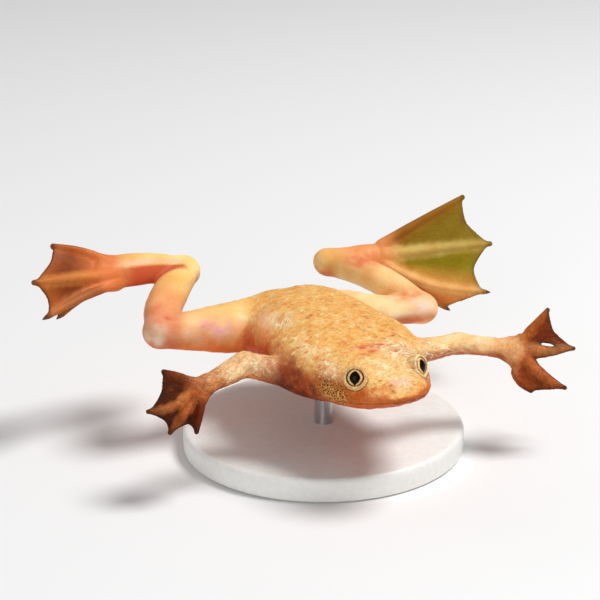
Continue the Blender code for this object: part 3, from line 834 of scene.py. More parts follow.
# Skin colours: of the body, and of the upper and under sides of each limb from its root to its end
skinColours = {
    "back": (246, 186, 104),
    # flank, belly, jaw and chin: partly the skin's own orange, partly painted shade, darker and redder low
    # down
    "flank": (216, 92, 40),
    "belly": (170, 70, 28),
    "head": (252, 200, 120),
    "jaw": (206, 102, 38),
    "chin": (196, 96, 42),
    # limbs: the under colours are mostly painted shade, darker than the upper ones; on the left shank they
    # are mostly painted light, paler than the upper ones
    "upperArmleft": (
        ((248, 192, 122), (250, 202, 136), (250, 200, 142)),
        ((200, 102, 44), (196, 98, 42), (190, 92, 44)),
    ),
    "forearmleft": (
        ((252, 210, 152), (255, 214, 156), (248, 184, 128)),
        ((198, 102, 50), (190, 94, 44), (160, 74, 32)),
    ),
    "palmleft": (((236, 176, 120), (210, 142, 88), (184, 104, 52)), ((166, 80, 36), (146, 66, 28))),
    "upperArmright": (
        ((206, 132, 98), (230, 166, 118), (248, 196, 144)),
        ((180, 88, 52), (190, 96, 52), (198, 106, 58)),
    ),
    "forearmright": (
        ((252, 200, 144), (255, 210, 154), (240, 168, 108)),
        ((220, 124, 66), (222, 124, 64), (190, 96, 46)),
    ),
    "palmright": (((214, 134, 78), (190, 104, 54), (176, 92, 44)), ((170, 84, 38), (150, 68, 30))),
    "thighleft": (
        ((250, 196, 126), (254, 222, 164), (252, 220, 182)),
        ((204, 98, 42), (200, 94, 44), (214, 130, 84)),
    ),
    "shankleft": (
        ((252, 200, 144), (254, 204, 140), (252, 204, 136), (240, 192, 118)),
        ((255, 186, 122), (255, 226, 172), (255, 216, 150)),
    ),
    "tarsusleft": (
        ((242, 184, 110), (246, 166, 104), (238, 156, 98), (214, 146, 80)),
        ((226, 130, 80), (214, 118, 66), (184, 98, 44)),
    ),
    "thighright": (
        ((248, 192, 114), (250, 204, 126), (250, 198, 130), (240, 190, 138)),
        ((246, 116, 46), (250, 124, 52), (242, 144, 84)),
    ),
    "shankright": (
        ((232, 146, 102), (242, 170, 112), (250, 196, 116), (255, 218, 134)),
        ((212, 110, 62), (226, 130, 66), (238, 160, 80)),
    ),
    "tarsusright": (
        ((255, 222, 146), (252, 212, 134), (246, 196, 120), (216, 138, 74)),
        ((206, 92, 50), (204, 90, 46), (182, 80, 36)),
    ),
}

# Colours of the fans: the webs in turn, the digits in turn, the rim and the root
fanColours = {
    "footright": {
        "webs": ((134, 52, 14), (138, 60, 24), (204, 114, 56), (200, 110, 52)),
        "digits": ((186, 98, 44), (236, 150, 76), (230, 142, 82), (208, 118, 56), (198, 106, 50)),
        "hem": ((198, 108, 46), 1.3, 0.75),
        "rim": (84, 36, 16),
        "root": (228, 128, 72),
        "rootReach": (1.1, 2.6),
        "rayReach": 0.80,
        "dusk": 0.30,
    },
    "footleft": {
        # the olive of the first two webs is partly their own colour, partly painted light: the green that
        # shone through the thin webs
        "webs": ((140, 110, 20), (144, 128, 14), (240, 156, 76), (252, 156, 84)),
        "digits": ((160, 100, 34), (214, 180, 100), (232, 180, 110), (216, 126, 60), (196, 106, 50)),
        "rim": (104, 70, 24),
        "root": (240, 158, 100),
        "rootReach": (0.7, 1.8),
        "rayReach": 0.95,
        "dusk": 0.10,
    },
    "handright": {
        "webs": ((92, 36, 12), (66, 24, 8), (58, 18, 6)),
        "digits": ((150, 70, 30), (236, 140, 76), (216, 116, 58), (124, 44, 18)),
        "rim": (50, 20, 8),
        "root": (170, 88, 44),
        "rootReach": (0.7, 1.6),
        "rayReach": 0.42,
        "dusk": 0.15,
    },
    "handleft": {
        "webs": ((132, 52, 16), (140, 60, 20), (146, 64, 22)),
        "digits": ((196, 104, 40), (222, 146, 80), (214, 118, 62), (150, 64, 24)),
        "rim": (52, 20, 8),
        "root": (186, 104, 54),
        "rootReach": (0.7, 1.7),
        "rayReach": 0.60,
        "dusk": 0.10,
    },
}

# Named markings: colour, middle, spread along the three axes, strength
markings = {
    "red behind the eyes": ((218, 78, 48), (0.6, -8.0, 3.8), (2.2, 0.6, 1.5), 0.95),
    "red between the eyes": ((226, 96, 52), (-0.6, -9.3, 3.7), (1.2, 0.6, 1.5), 0.80),
    "red by the left eye": ((206, 82, 58), (2.6, -9.6, 3.3), (0.9, 0.6, 1.5), 0.90),
    "orange round the left eye": ((196, 100, 48), (4.2, -9.8, 2.9), (1.7, 1.9, 1.2), 0.90),
    "orange before the left eye": ((204, 118, 58), (2.6, -13.6, 2.4), (0.6, 1.0, 0.8), 0.70),
    "red of the neck": ((236, 150, 92), (-2.0, -6.6, 4.0), (1.0, 0.7, 1.5), 0.45),
    # painted highlights: pale cream on the brow between the eyes and whitish on the top of the snout
    "pale brow": ((255, 236, 186), (-0.7, -12.6, 2.8), (1.3, 1.6, 1.5), 0.90),
    "pale snout": ((240, 208, 196), (0.4, -15.2, 1.9), (1.2, 0.8, 1.0), 0.85),
    "white of the snout": ((255, 228, 208), (0.4, -15.3, 1.9), (1.1, 0.8, 0.7), 0.45),
    "tip of the snout": ((170, 90, 48), (0.2, -17.3, 0.2), (2.4, 0.9, 0.6), 0.80),
    "right snout": ((220, 134, 78), (-2.6, -15.5, 1.0), (2.0, 1.5, 0.85), 0.75),
    "right eye's corner": ((214, 132, 80), (-3.9, -14.6, 1.6), (0.9, 0.7, 0.6), 0.6),
    "right cheek": ((166, 76, 24), (-5.9, -10.8, 0.1), (1.3, 2.5, 1.0), 0.85),
    "left cheek": ((170, 84, 34), (5.9, -10.8, 0.2), (1.3, 2.3, 1.0), 0.70),
    # painted shade: darker in the right armpit
    "right armpit": ((160, 78, 56), (-8.4, -4.2, 0.9), (1.7, 1.7, 1.5), 0.90),
    "right shoulder's shade": ((206, 128, 88), (-7.9, -3.0, 2.4), (1.0, 2.0, 1.0), 0.50),
    "left armpit": ((196, 104, 66), (8.4, -5.9, 0.9), (1.2, 1.2, 1.2), 0.65),
    "pink fold of the left arm": ((196, 84, 46), (10.6, -6.2, 0.3), (2.8, 0.8, 0.65), 0.90),
    # partly the flank's own red, partly painted shade on the side turned from the light
    "right flank": ((206, 62, 16), (-8.3, 1.6, 0.6), (1.3, 3.6, 2.2), 0.95),
    # painted shade under the right arm
    "brown of the right armpit": ((164, 78, 44), (-8.4, -5.2, 1.0), (1.0, 3.2, 1.5), 0.95),
    # painted shade low on the right flank, under the arm
    "right flank's foot": ((96, 32, 12), (-8.2, -3.8, -1.1), (2.4, 4.4, 1.5), 0.95),
    # painted shade behind and below the right cheek
    "dark behind the right cheek": ((98, 42, 20), (-7.4, -7.0, -1.1), (2.0, 3.4, 1.5), 0.88),
    "dark red over the right cheek": ((104, 26, 14), (-6.3, -9.4, 1.1), (0.45, 0.75, 0.30), 0.80),
    "pale right shoulder": ((255, 222, 166), (-6.0, -5.0, 3.3), (1.3, 3.0, 0.8), 0.75),
    "pale top of the right cheek": ((255, 216, 172), (-5.4, -9.3, 2.4), (1.0, 1.6, 0.8), 0.85),
    "right hip": ((255, 206, 160), (-6.7, 6.2, 3.5), (1.6, 2.6, 1.2), 0.95),
    "right hip's streak": ((255, 234, 170), (-7.6, 10.2, 2.7), (0.8, 1.6, 1.1), 0.90),
    "tan between the right hip's creases": ((216, 128, 72), (-5.6, 3.3, 4.2), (0.8, 1.5, 0.9), 0.60),
    "yellow of the right flank's edge": ((255, 232, 140), (-7.0, -2.3, 3.3), (0.5, 1.0, 0.6), 0.60),
    "right hip's fold": ((204, 100, 46), (-7.8, 8.2, 1.4), (0.6, 1.3, 1.6), 0.70),
    "orange of the right hip": ((246, 130, 70), (-7.8, 3.6, 2.5), (1.1, 2.3, 1.2), 0.70),
    "orange behind the right thigh": ((250, 146, 88), (-7.6, 8.4, 1.6), (1.0, 1.4, 1.0), 0.60),
    "lilac of the right thigh": ((240, 172, 162), (-11.6, 9.6, 1.9), (2.6, 1.4, 1.2), 0.95),
    "grey of the right knee": ((232, 206, 178), (-18.9, 10.4, 2.2), (1.4, 1.4, 1.4), 0.95),
    "red by the right knee": ((210, 72, 40), (-17.1, 10.8, 4.0), (0.45, 0.4, 0.5), 0.80),
    "pink of the right shank": ((236, 136, 98), (-17.6, 12.8, 4.0), (0.9, 1.0, 1.0), 0.65),
    "pink of the right shank's middle": ((242, 156, 104), (-15.4, 15.4, 4.6), (0.8, 1.4, 1.0), 0.50),
    "grey of the left heel": ((255, 210, 144), (8.2, 22.4, 3.2), (0.8, 1.2, 1.5), 0.85),
    "yellow of the left heel": ((252, 208, 120), (9.8, 21.4, 3.6), (1.1, 1.0, 1.0), 0.60),
    # painted shade in the bend of the left knee
    "orange of the left knee's bend": ((226, 124, 66), (15.6, 12.2, 1.4), (2.4, 1.0, 0.8), 0.80),
    "orange before the left knee": ((236, 150, 92), (15.4, 10.4, 0.5), (0.6, 1.0, 0.9), 0.60),
    "cream of the left thigh": ((255, 226, 160), (13.8, 10.3, 0.2), (0.9, 0.9, 0.6), 0.85),
    # painted shade along the underside of the left thigh
    "red under the left thigh": ((216, 108, 56), (15.4, 10.4, -1.6), (3.0, 1.2, 0.7), 1.0),
    "white of the left knee": ((252, 226, 204), (17.2, 10.6, 0.0), (1.15, 1.0, 1.0), 1.0),
    "red fold of the left leg": ((224, 112, 72), (12.6, 18.8, 4.4), (3.2, 1.8, 0.6), 0.85),
    "pink of the left foot's root": ((240, 150, 104), (16.0, 20.0, 4.4), (3.0, 1.0, 1.0), 0.45),
    "orange of the left tarsus": ((228, 130, 86), (13.4, 17.8, 4.2), (1.8, 1.0, 0.8), 0.75),
}

# Dark red specks of the back: places seen from above
specks = {
    "colour": (158, 34, 14),
    "radius": 0.21,
    "places": (
        (3.2, -5.0), (2.7, -6.6), (4.4, -3.6), (3.6, -3.0), (4.9, -4.6), (2.2, -3.9),
        (4.1, -6.0), (5.4, -2.6), (3.0, -1.6), (5.0, -5.9), (1.2, -4.4), (-3.4, 1.2),
        (-2.8, 1.5), (0.6, -0.6), (1.0, -0.9), (-4.6, -2.0),
    ),
}

# Masks of the shader's finer marks, as mottling, pores and wrinkles on the parts
markShares = {
    "body": (0.75, 0.60, 0.10),
    "head": (0.60, 0.75, 0.08),
    "armleft": (0.35, 0.15, 0.35),
    "armright": (0.45, 0.30, 0.80),
    "legleft": (0.05, 0.08, 0.06),
    "legright": (0.0, 0.12, 0.08),
    "hand": (0.0, 0.15, 1.0),
    "foot": (0.0, 0.0, 0.20),
}
# Places of fine marks, each with its middle, spread and strength
fineMarks = {
    "cheekNet": (((-5.9, -10.9, 0.2), (1.5, 2.1, 1.05), 1.9), ((5.9, -10.9, 0.2), (1.5, 2.1, 1.05), 1.9)),
    # glints: places of painted highlights, small pale dots
    "glints": (
        ((-5.6, -8.2, 2.4), (1.3, 2.4, 1.2), 1.3),
        ((-11.4, -2.2, 1.6), (1.8, 1.2, 0.9), 1.2),
        ((6.4, -7.6, 2.2), (1.4, 2.4, 1.4), 0.8),
        ((0.4, -15.0, 2.0), (1.3, 1.0, 0.8), 1.0),
        ((0.0, -2.0, 4.6), (5.0, 7.0, 2.0), 0.28),
    ),
    "creamLines": (
        ((3.9, -9.8, 3.0), (2.2, 2.6, 1.4), 3.0),
        ((2.4, -13.2, 2.5), (0.8, 1.4, 1.0), 1.2),
        ((5.4, -13.0, 1.2), (0.9, 1.6, 1.2), 0.9),
        ((-5.6, 3.3, 4.2), (1.0, 1.6, 1.0), 2.4),
        ((2.0, -8.6, 3.8), (2.4, 1.0, 1.2), 0.5),
        ((-12.0, -2.0, 1.8), (2.4, 1.0, 0.9), 0.6),
        ((9.6, -6.0, 1.2), (2.2, 1.0, 1.1), 1.8),
        ((14.5, -5.4, 0.8), (4.0, 1.0, 1.0), 0.35),
        ((-15.6, -2.2, 1.0), (2.4, 1.0, 1.0), 0.45),
    ),
}


# Places for the cream lines: stretched along x on the body and arms, along y on the hips, and turned
# round the eyes, where they run in arcs. In millimetres.
lineFlowShape = {
    "plain": (0.40, 1.0, 1.2),
    "hip": ((5.6, 3.2, 4.2), (1.8, 3.4, 2.0), (-0.84, -0.61, 0.38), (0.08, -0.13, -0.04)),
    "eyeSpread": 3.6,
    "eyeArcs": (1.6, 0.6),
}


def lineFlowAt(points):
    flow = points * np.array(lineFlowShape["plain"])
    middle, spread, acrossFolds, alongFolds = lineFlowShape["hip"]
    for side in ("left", "right"):
        share = np.clip(4 * bell(points, onSide(middle, side), spread) - 0.6, 0, 1)
        folds = (points @ onSide(acrossFolds, side), points @ onSide(alongFolds, side), np.zeros(len(points)))
        flow = blendColour(flow, np.stack(folds, -1), share)
        centre, axis = eyeFrame(side)
        offset = points - centre
        out = np.linalg.norm(offset, axis=1)
        sideways = unit(np.cross((0.0, 0.0, 1.0), axis))
        turn = np.arctan2(offset @ np.cross(axis, sideways), offset @ sideways)
        perOut, perTurn = lineFlowShape["eyeArcs"]
        arcs = np.stack([out * perOut, turn * perTurn, np.zeros(len(points))], -1)
        share = easeStep(lineFlowShape["eyeSpread"] + 0.8, lineFlowShape["eyeSpread"], out)
        flow = blendColour(flow, arcs, share)
    return flow


# Colour, masks and flow of the skin at points with given normals
def paintSkin(points, normals):
    s = points[:, 1] - bodyShape["snoutY"]
    _, up, middle, down = bodySection(s)
    rise = points[:, 2] - middle
    level = rise / np.where(rise > 0, up, down)
    warp = waves(points, 1.7, 10, 21)
    fine = waves(points, 0.8, 14, 22)
    headShare = easeStep(10.5, 8.0, s)
    level = level + 0.05 * warp
    colour = np.tile(linear(skinColours["back"]), (len(points), 1))
    colour = blendColour(colour, linear(skinColours["head"]), headShare)
    # painted shade, in part: lower on the body the back colour turns to the flank and belly colours, lower on
    # the head to the jaw and chin colours
    bodyLow = blendColour(colour, linear(skinColours["flank"]), easeStep(0.46, 0.10, level))
    headLow = blendColour(colour, linear(skinColours["jaw"]), easeStep(0.90, 0.30, level))
    headLow = blendColour(headLow, linear(skinColours["chin"]), easeStep(0.30, -0.4, level))
    bodyLow = blendColour(bodyLow, linear(skinColours["belly"]), easeStep(-0.2, -0.8, level))
    colour = bodyLow + (headLow - bodyLow) * headShare[:, None]
    masks = np.tile(np.array(markShares["body"]), (len(points), 1))
    masks = blendColour(masks, markShares["head"], headShare)
    masks[:, 0] *= easeStep(-0.1, 0.75, level)
    masks[:, 0] += 0.6 * bell(points, (-5.4, -2.5, 3.8), (2.2, 5.5, 1.5))
    masks *= 1 - 0.9 * bell(points, (-6.9, 5.0, 3.3), (1.9, 3.2, 2.1))[:, None]
    bodyAway = bodyDistance(points)
    # painted light and shade, in part: each limb takes its upper colours where the surface faces up and its
    # under colours where it faces down
    facing = easeStep(-0.8, 0.35, normals[:, 2] + 0.08 * warp)
    for side in ("left", "right"):
        for names, kind in ((("upperArm", "forearm", "palm"), "arm"), (("thigh", "shank", "tarsus"), "leg")):
            for name in names:
                away, share = boneDistance(points, bones[name + side])
                weight = easeStep(-0.2, 1.3, bodyAway - away) * easeStep(1.6, 0.5, away)
                upper, under = skinColours[name + side]
                own = blendColour(colourAlong(under, share), colourAlong(upper, share), facing)
                colour = colour + (own - colour) * weight[:, None]
                masks = blendColour(masks, markShares[kind + side], weight)
    colour = paintTarsus(points, colour)
    for tone, centre, spread, strength in markings.values():
        share = bell(points, centre, spread) * (1 + 0.30 * warp + 0.15 * fine)
        colour = blendColour(colour, linear(tone), np.clip(share, 0, 1) * strength)
    webShare = np.zeros(len(points))
    flow = points.copy()
    for name, fan in webs.items():
        colour, masks, webShare, flow = paintFan(points, name, fan, colour, masks, webShare, flow)
    colour = paintFace(points, colour)
    masks[:, 0] *= easeStep(0.12, 0.34, colour[:, 1])
    masks[:, 0] *= 1 - 0.5 * bell(points, (0.4, -15.2, 1.9), (2.0, 1.2, 1.2))
    blotch = 0.05 * waves(points, 2.6, 10, 31) + 0.05 * waves(points, 1.1, 12, 32) * masks[:, 0]
    colour = np.clip(colour * (1 + blotch[:, None] * np.array([0.4, 1.0, 1.8])), 0, 1)
    for x, y in specks["places"]:
        across = (points[:, 0] - x) ** 2 + (points[:, 1] - y) ** 2
        dot = np.exp(-across / specks["radius"] ** 2) * (normals[:, 2] > 0)
        colour = blendColour(colour, linear(specks["colour"]), dot * 0.9)
        masks[:, :2] *= (1 - dot)[:, None]
    extra = np.zeros((len(points), 3))
    for column, places in enumerate(fineMarks.values()):
        for centre, spread, strength in places:
            extra[:, column] += bell(points, centre, spread) * strength
    return colour, np.clip(masks, 0, 1), webShare, flow, np.clip(extra, 0, 1)


# The red band along the lower half of the right foot's root, with its sharp upper edge
tarsusBand = {
    "colour": (202, 76, 46),
    "edge": 0.12,
    "softness": 0.22,
    "strength": 0.92,
    "end": (1.15, 0.70),
    "stripe": ((246, 190, 170), 0.62, 0.30, 0.75),
}


def paintTarsus(points, colour):
    fan = webs["footright"]
    bone = bones["tarsusright"]
    away = boneDistance(points, bone)[0]
    run = bone["path"][-1] - bone["path"][0]
    share = (points - bone["path"][0]) @ run / (run @ run)
    axis = bone["path"][0] + np.outer(share, run)
    bow = limbShape["tarsusBow"]["right"] * np.sin(math.pi * np.clip(share, 0, 1))
    over = np.sum((points - axis) * fan["across"], 1) - bow
    edge, softness = tarsusBand["edge"], tarsusBand["softness"]
    band = easeStep(edge + softness, edge - softness, over)
    reach = easeStep(0.06, 0.16, share) * easeStep(*tarsusBand["end"], share) * easeStep(1.2, 0.4, away)
    colour = blendColour(colour, linear(tarsusBand["colour"]), band * reach * tarsusBand["strength"])
    tone, middle, width, strength = tarsusBand["stripe"]
    stripe = np.exp(-(((over - middle) / width) ** 2)) * reach
    return blendColour(colour, linear(tone), stripe * strength)


# A fan's own colours: each point mixes the digit's or the web's it lies on, darker at the rim
def paintFan(points, name, fan, colour, masks, webShare, flow):
    tones = fanColours[name]
    offset = points - fan["apex"]
    forward = offset @ fan["line"]
    sideways = offset @ fan["across"]
    reach = np.hypot(forward, sideways)
    turn = np.arctan2(sideways, forward)
    away, margin = websDistance(points, fan)
    nearDigits = np.full(len(points), 1e3)
    digitColour = np.zeros((len(points), 3))
    for bone, tone in zip(fan["bones"], tones["digits"]):
        distance = boneDistance(points, bone)[0]
        closer = distance < nearDigits
        digitColour[closer] = linear(tone)
        nearDigits = np.where(closer, distance, nearDigits)
    turns = np.array([digit["turn"] for digit in fan["digits"]])
    middles = (turns[:-1] + turns[1:]) / 2
    webTones = np.array([linear(tone) for tone in tones["webs"]])
    webColour = np.stack([np.interp(-turn, -middles, webTones[:, c]) for c in range(3)], -1)
    size = max(digit["reach"] for digit in fan["digits"])
    ray = easeStep(tones["rayReach"], -0.20, nearDigits + 0.05 * waves(points, 0.9, 10, 41))
    ray = ray * (1 - 0.45 * easeStep(0.3, 1.0, reach / size))
    dusk = 1 - tones["dusk"] * bell(np.stack([reach / size], -1), (0.62,), (0.22,))
    webColour = webColour * dusk[:, None]
    if "hem" in tones:
        tone, depth, strength = tones["hem"]
        webColour = blendColour(webColour, linear(tone), np.exp(-np.clip(margin, 0, None) / depth) * strength)
    own = blendColour(webColour, digitColour, ray)
    start = easeStep(fan["setback"] * tones["rootReach"][0], fan["setback"] * tones["rootReach"][1], reach)
    own = blendColour(np.tile(linear(tones["root"]), (len(points), 1)), own, start)
    rim = np.exp(-np.clip(margin, 0, None) / 0.30) * (np.abs(away) < 1.0)
    tips = easeStep(-1.2, 0.2, reach - np.interp(-turn, -turns, [digit["reach"] for digit in fan["digits"]]))
    rim = np.maximum(rim * (1 - 0.4 * ray), tips * ray * 0.7)
    own = blendColour(own, linear(tones["rim"]), np.clip(rim, 0, 1) * 0.85)
    here = (reach < size + 1.5) * easeStep(1.0, 0.35, np.minimum(away, nearDigits))
    share = here * easeStep(fan["setback"] * 0.45, fan["setback"] * 1.15, reach)
    share = share * easeStep(-0.4, 1.6, forward)
    colour = blendColour(colour, own, share)
    masks = blendColour(masks, markShares[name[:4]], share)
    webShare = np.maximum(webShare, share * (1 - ray) * easeStep(1.0, 1.6, reach / fan["setback"]))
    across = np.stack([turn * 7.0, reach * 0.40, np.full(len(points), 20.0 * list(webs).index(name))], -1)
    flow = np.where((share > 0.5)[:, None], across, flow)
    return colour, masks, webShare, flow


# Face: cream rings of the lids in thin dark outlines, dark nostrils and the line of the mouth
faceColours = {
    "ring": (250, 218, 156),
    "outline": (128, 66, 32),
    "socket": (120, 74, 42),
    "nostril": (132, 58, 34),
    "mouth": (150, 72, 32),
    "rings": ((1.46, 0.08, 0.95), (1.23, 0.05, 0.50)),
}


def paintFace(points, colour):
    for side in ("left", "right"):
        centre, axis = eyeFrame(side)
        offset = points - centre
        high = offset @ axis
        out = np.sqrt(np.clip(np.sum(offset * offset, 1) - high**2, 0, None))
        near = easeStep(0.30, 0.50, high)
        ring = easeStep(1.52, 1.38, out) * near
        colour = blendColour(colour, linear(faceColours["ring"]), ring * 0.92)
        for radius, width, strength in faceColours["rings"]:
            line = np.exp(-(((out - radius) / width) ** 2)) * near
            colour = blendColour(colour, linear(faceColours["outline"]), line * strength)
        colour = blendColour(colour, linear(faceColours["socket"]), easeStep(1.04, 0.98, out) * near)
        nostril = bell(points, onSide(faceShape["nostril"], side), 0.22)
        colour = blendColour(colour, linear(faceColours["nostril"]), np.clip(nostril * 1.2, 0, 1) * 0.6)
    s = points[:, 1] - bodyShape["snoutY"]
    fade = np.clip((faceShape["mouthCorner"] - s) / faceShape["mouthFade"], 0, 1)
    gap = np.exp(-(((points[:, 2] - mouthLevel(s)) / 0.11) ** 2)) * fade
    return blendColour(colour, linear(faceColours["mouth"]), gap * 0.5)


def addAttribute(target, name, kind, values):
    attribute = target.data.attributes.new(name, kind, "POINT")
    if kind == "FLOAT_COLOR":
        values = np.concatenate([values, np.ones((len(values), 1))], 1)
        attribute.data.foreach_set("color", values.ravel())
    elif kind == "FLOAT_VECTOR":
        attribute.data.foreach_set("vector", values.ravel())
    else:
        attribute.data.foreach_set("value", values.ravel())


def normalsOf(target):
    flat = np.empty(len(target.data.vertices) * 3)
    target.data.vertices.foreach_get("normal", flat)
    return flat.reshape(-1, 3)


colour, masks, webShare, flow, extra = paintSkin(skinPoints, normalsOf(skin))
addAttribute(skin, "skinColour", "FLOAT_COLOR", colour)
addAttribute(skin, "skinMasks", "FLOAT_COLOR", masks)
addAttribute(skin, "fineMarks", "FLOAT_COLOR", extra)
addAttribute(skin, "webShare", "FLOAT", webShare)
addAttribute(skin, "webFlow", "FLOAT_VECTOR", flow)
addAttribute(skin, "lineFlow", "FLOAT_VECTOR", lineFlowAt(skinPoints))
print("skin painted")


# Shader helpers
def addNode(tree, kind, settings=None, **inputs):
    made = tree.nodes.new(kind)
    for key, value in (settings or {}).items():
        setattr(made, key, value)
    for key, value in inputs.items():
        name = key.replace("_", " ")
        socket = made.inputs[int(key[1:])] if key[0] == "i" and key[1:].isdigit() else made.inputs[name]
        if isinstance(value, bpy.types.NodeSocket):
            tree.links.new(value, socket)
        else:
            socket.default_value = value
    return made


def calculate(tree, operation, a, b=0.0, clamp=False):
    settings = {"operation": operation, "use_clamp": clamp}
    return addNode(tree, "ShaderNodeMath", settings, i0=a, i1=b).outputs[0]


def mixColours(tree, share, a, b, blend="MIX"):
    made = tree.nodes.new("ShaderNodeMix")
    made.data_type = "RGBA"
    made.blend_type = blend
    for index, value in ((0, share), (6, a), (7, b)):
        if isinstance(value, bpy.types.NodeSocket):
            tree.links.new(value, made.inputs[index])
        else:
            made.inputs[index].default_value = value
    return made.outputs[2]


def stretchRange(tree, value, low, high, outLow=0.0, outHigh=1.0):
    settings = {"interpolation_type": "SMOOTHSTEP"}
    made = addNode(tree, "ShaderNodeMapRange", settings, Value=value, From_Min=low, From_Max=high)
    made.inputs["To Min"].default_value = outLow
    made.inputs["To Max"].default_value = outHigh
    return made.outputs[0]


def newGroup(name, inputs, outputs):
    tree = bpy.data.node_groups.new(name, "ShaderNodeTree")
    for label, kind, value in inputs:
        socket = tree.interface.new_socket(label, in_out="INPUT", socket_type=kind)
        if value is not None:
            socket.default_value = value
    for label, kind in outputs:
        tree.interface.new_socket(label, in_out="OUTPUT", socket_type=kind)
    return tree, tree.nodes.new("NodeGroupInput").outputs, tree.nodes.new("NodeGroupOutput").inputs


def useGroup(tree, group, **inputs):
    made = tree.nodes.new("ShaderNodeGroup")
    made.node_tree = group
    for key, value in inputs.items():
        socket = made.inputs[key.replace("_", " ")]
        if isinstance(value, bpy.types.NodeSocket):
            tree.links.new(value, socket)
        else:
            socket.default_value = value
    return made.outputs


def newMaterial(name):
    material = bpy.data.materials.new(name)
    material.use_nodes = True
    return material, material.node_tree, material.node_tree.nodes["Principled BSDF"]


# Fine grain for any surface: a mask of uneven spots and a height of the same
def makeGrainGroup():
    inputs = (("Vector", "NodeSocketVector", None), ("Scale", "NodeSocketFloat", 1000.0))
    outputs = (("Mask", "NodeSocketFloat"), ("Height", "NodeSocketFloat"))
    tree, given, out = newGroup("fine grain", inputs, outputs)
    coarse = addNode(tree, "ShaderNodeTexNoise", Vector=given["Vector"], Scale=given["Scale"], Detail=4.0)
    fineScale = calculate(tree, "MULTIPLY", given["Scale"], 4.0)
    fine = addNode(tree, "ShaderNodeTexNoise", Vector=given["Vector"], Scale=fineScale, Detail=2.0)
    mask = stretchRange(tree, coarse.outputs["Fac"], 0.40, 0.60)
    half = calculate(tree, "MULTIPLY", fine.outputs["Fac"], 0.5)
    mixed = calculate(tree, "ADD", half, coarse.outputs["Fac"])
    tree.links.new(mask, out["Mask"])
    tree.links.new(mixed, out["Height"])
    return tree


# Pits or dots of uneven size, in patches: 1 in the middle of each, with a share left blank
def makeDotGroup():
    inputs = (
        ("Vector", "NodeSocketVector", None),
        ("Scale", "NodeSocketFloat", 1800.0),
        ("Size", "NodeSocketFloat", 0.22),
        ("Patches", "NodeSocketFloat", 500.0),
    )
    tree, given, out = newGroup("scattered dots", inputs, (("Mask", "NodeSocketFloat"),))
    place = {"Vector": given["Vector"], "Scale": given["Scale"]}
    cells = addNode(tree, "ShaderNodeTexVoronoi", **place, Randomness=1.0)
    patches = addNode(tree, "ShaderNodeTexNoise", Vector=given["Vector"], Scale=given["Patches"], Detail=3.0)
    size = calculate(tree, "MULTIPLY", given["Size"], stretchRange(tree, patches.outputs["Fac"], 0.38, 0.62))
    inner = calculate(tree, "SUBTRACT", size, cells.outputs["Distance"])
    tree.links.new(calculate(tree, "MULTIPLY", inner, 6.0, True), out["Mask"])
    return tree


# Crinkles: thin creases where a noise passes its middle value, at two sizes, and the folds between them
def makeCrinkleGroup():
    inputs = (
        ("Vector", "NodeSocketVector", None),
        ("Scale", "NodeSocketFloat", 1200.0),
        ("Width", "NodeSocketFloat", 1.0),
    )
    outputs = (("Height", "NodeSocketFloat"), ("Creases", "NodeSocketFloat"))
    tree, given, out = newGroup("crinkles", inputs, outputs)
    total = None
    for share, width in ((1.0, 0.06), (2.3, 0.08)):
        scale = calculate(tree, "MULTIPLY", given["Scale"], share)
        place = {"Vector": given["Vector"], "Scale": scale}
        noise = addNode(tree, "ShaderNodeTexNoise", **place, Detail=2.0, Distortion=0.7)
        away = calculate(tree, "ABSOLUTE", calculate(tree, "SUBTRACT", noise.outputs["Fac"], 0.5))
        away = calculate(tree, "DIVIDE", away, given["Width"])
        crease = stretchRange(tree, away, width, 0.0)
        if total is None:
            total = crease
        else:
            total = calculate(tree, "MAXIMUM", total, calculate(tree, "MULTIPLY", crease, 0.7))
    tree.links.new(total, out["Creases"])
    tree.links.new(calculate(tree, "SUBTRACT", 1.0, total), out["Height"])
    return tree


fineGrain = makeGrainGroup()
scatteredDots = makeDotGroup()
crinkles = makeCrinkleGroup()

skinFinish = {
    "mottleScale": 1500.0,
    "mottleColour": (255, 231, 164),
    "ruddyColour": (214, 116, 52),
    "poreScale": 1500.0,
    "poreSize": 0.40,
    "poreColour": (200, 92, 42),
    "grainScale": 4000.0,
    "grainTint": (0.74, 0.52, 0.36, 1.0),
    "wrinkleColour": (56, 20, 8),
    "netScale": 3300.0,
    "netColours": ((80, 28, 10), (242, 172, 88)),
    "glintScale": 2700.0,
    "glintColour": (255, 238, 196),
    "lineScale": 0.9,
    "lineWidth": 0.85,
    "lineColour": (255, 240, 196),
    "bump": 0.00017,
    "roughness": (0.40, 0.58),
    "specular": 0.15,
    "specularTint": (255, 216, 176),
    "subsurface": 0.15,
    "radius": (1.0, 0.32, 0.12),
    "radiusScale": 0.0005,
    "coat": 0.03,
}


def rgba(colour):
    return (*linear(colour), 1.0)


def multiply(tree, *values):
    result = values[0]
    for value in values[1:]:
        result = calculate(tree, "MULTIPLY", result, value)
    return result


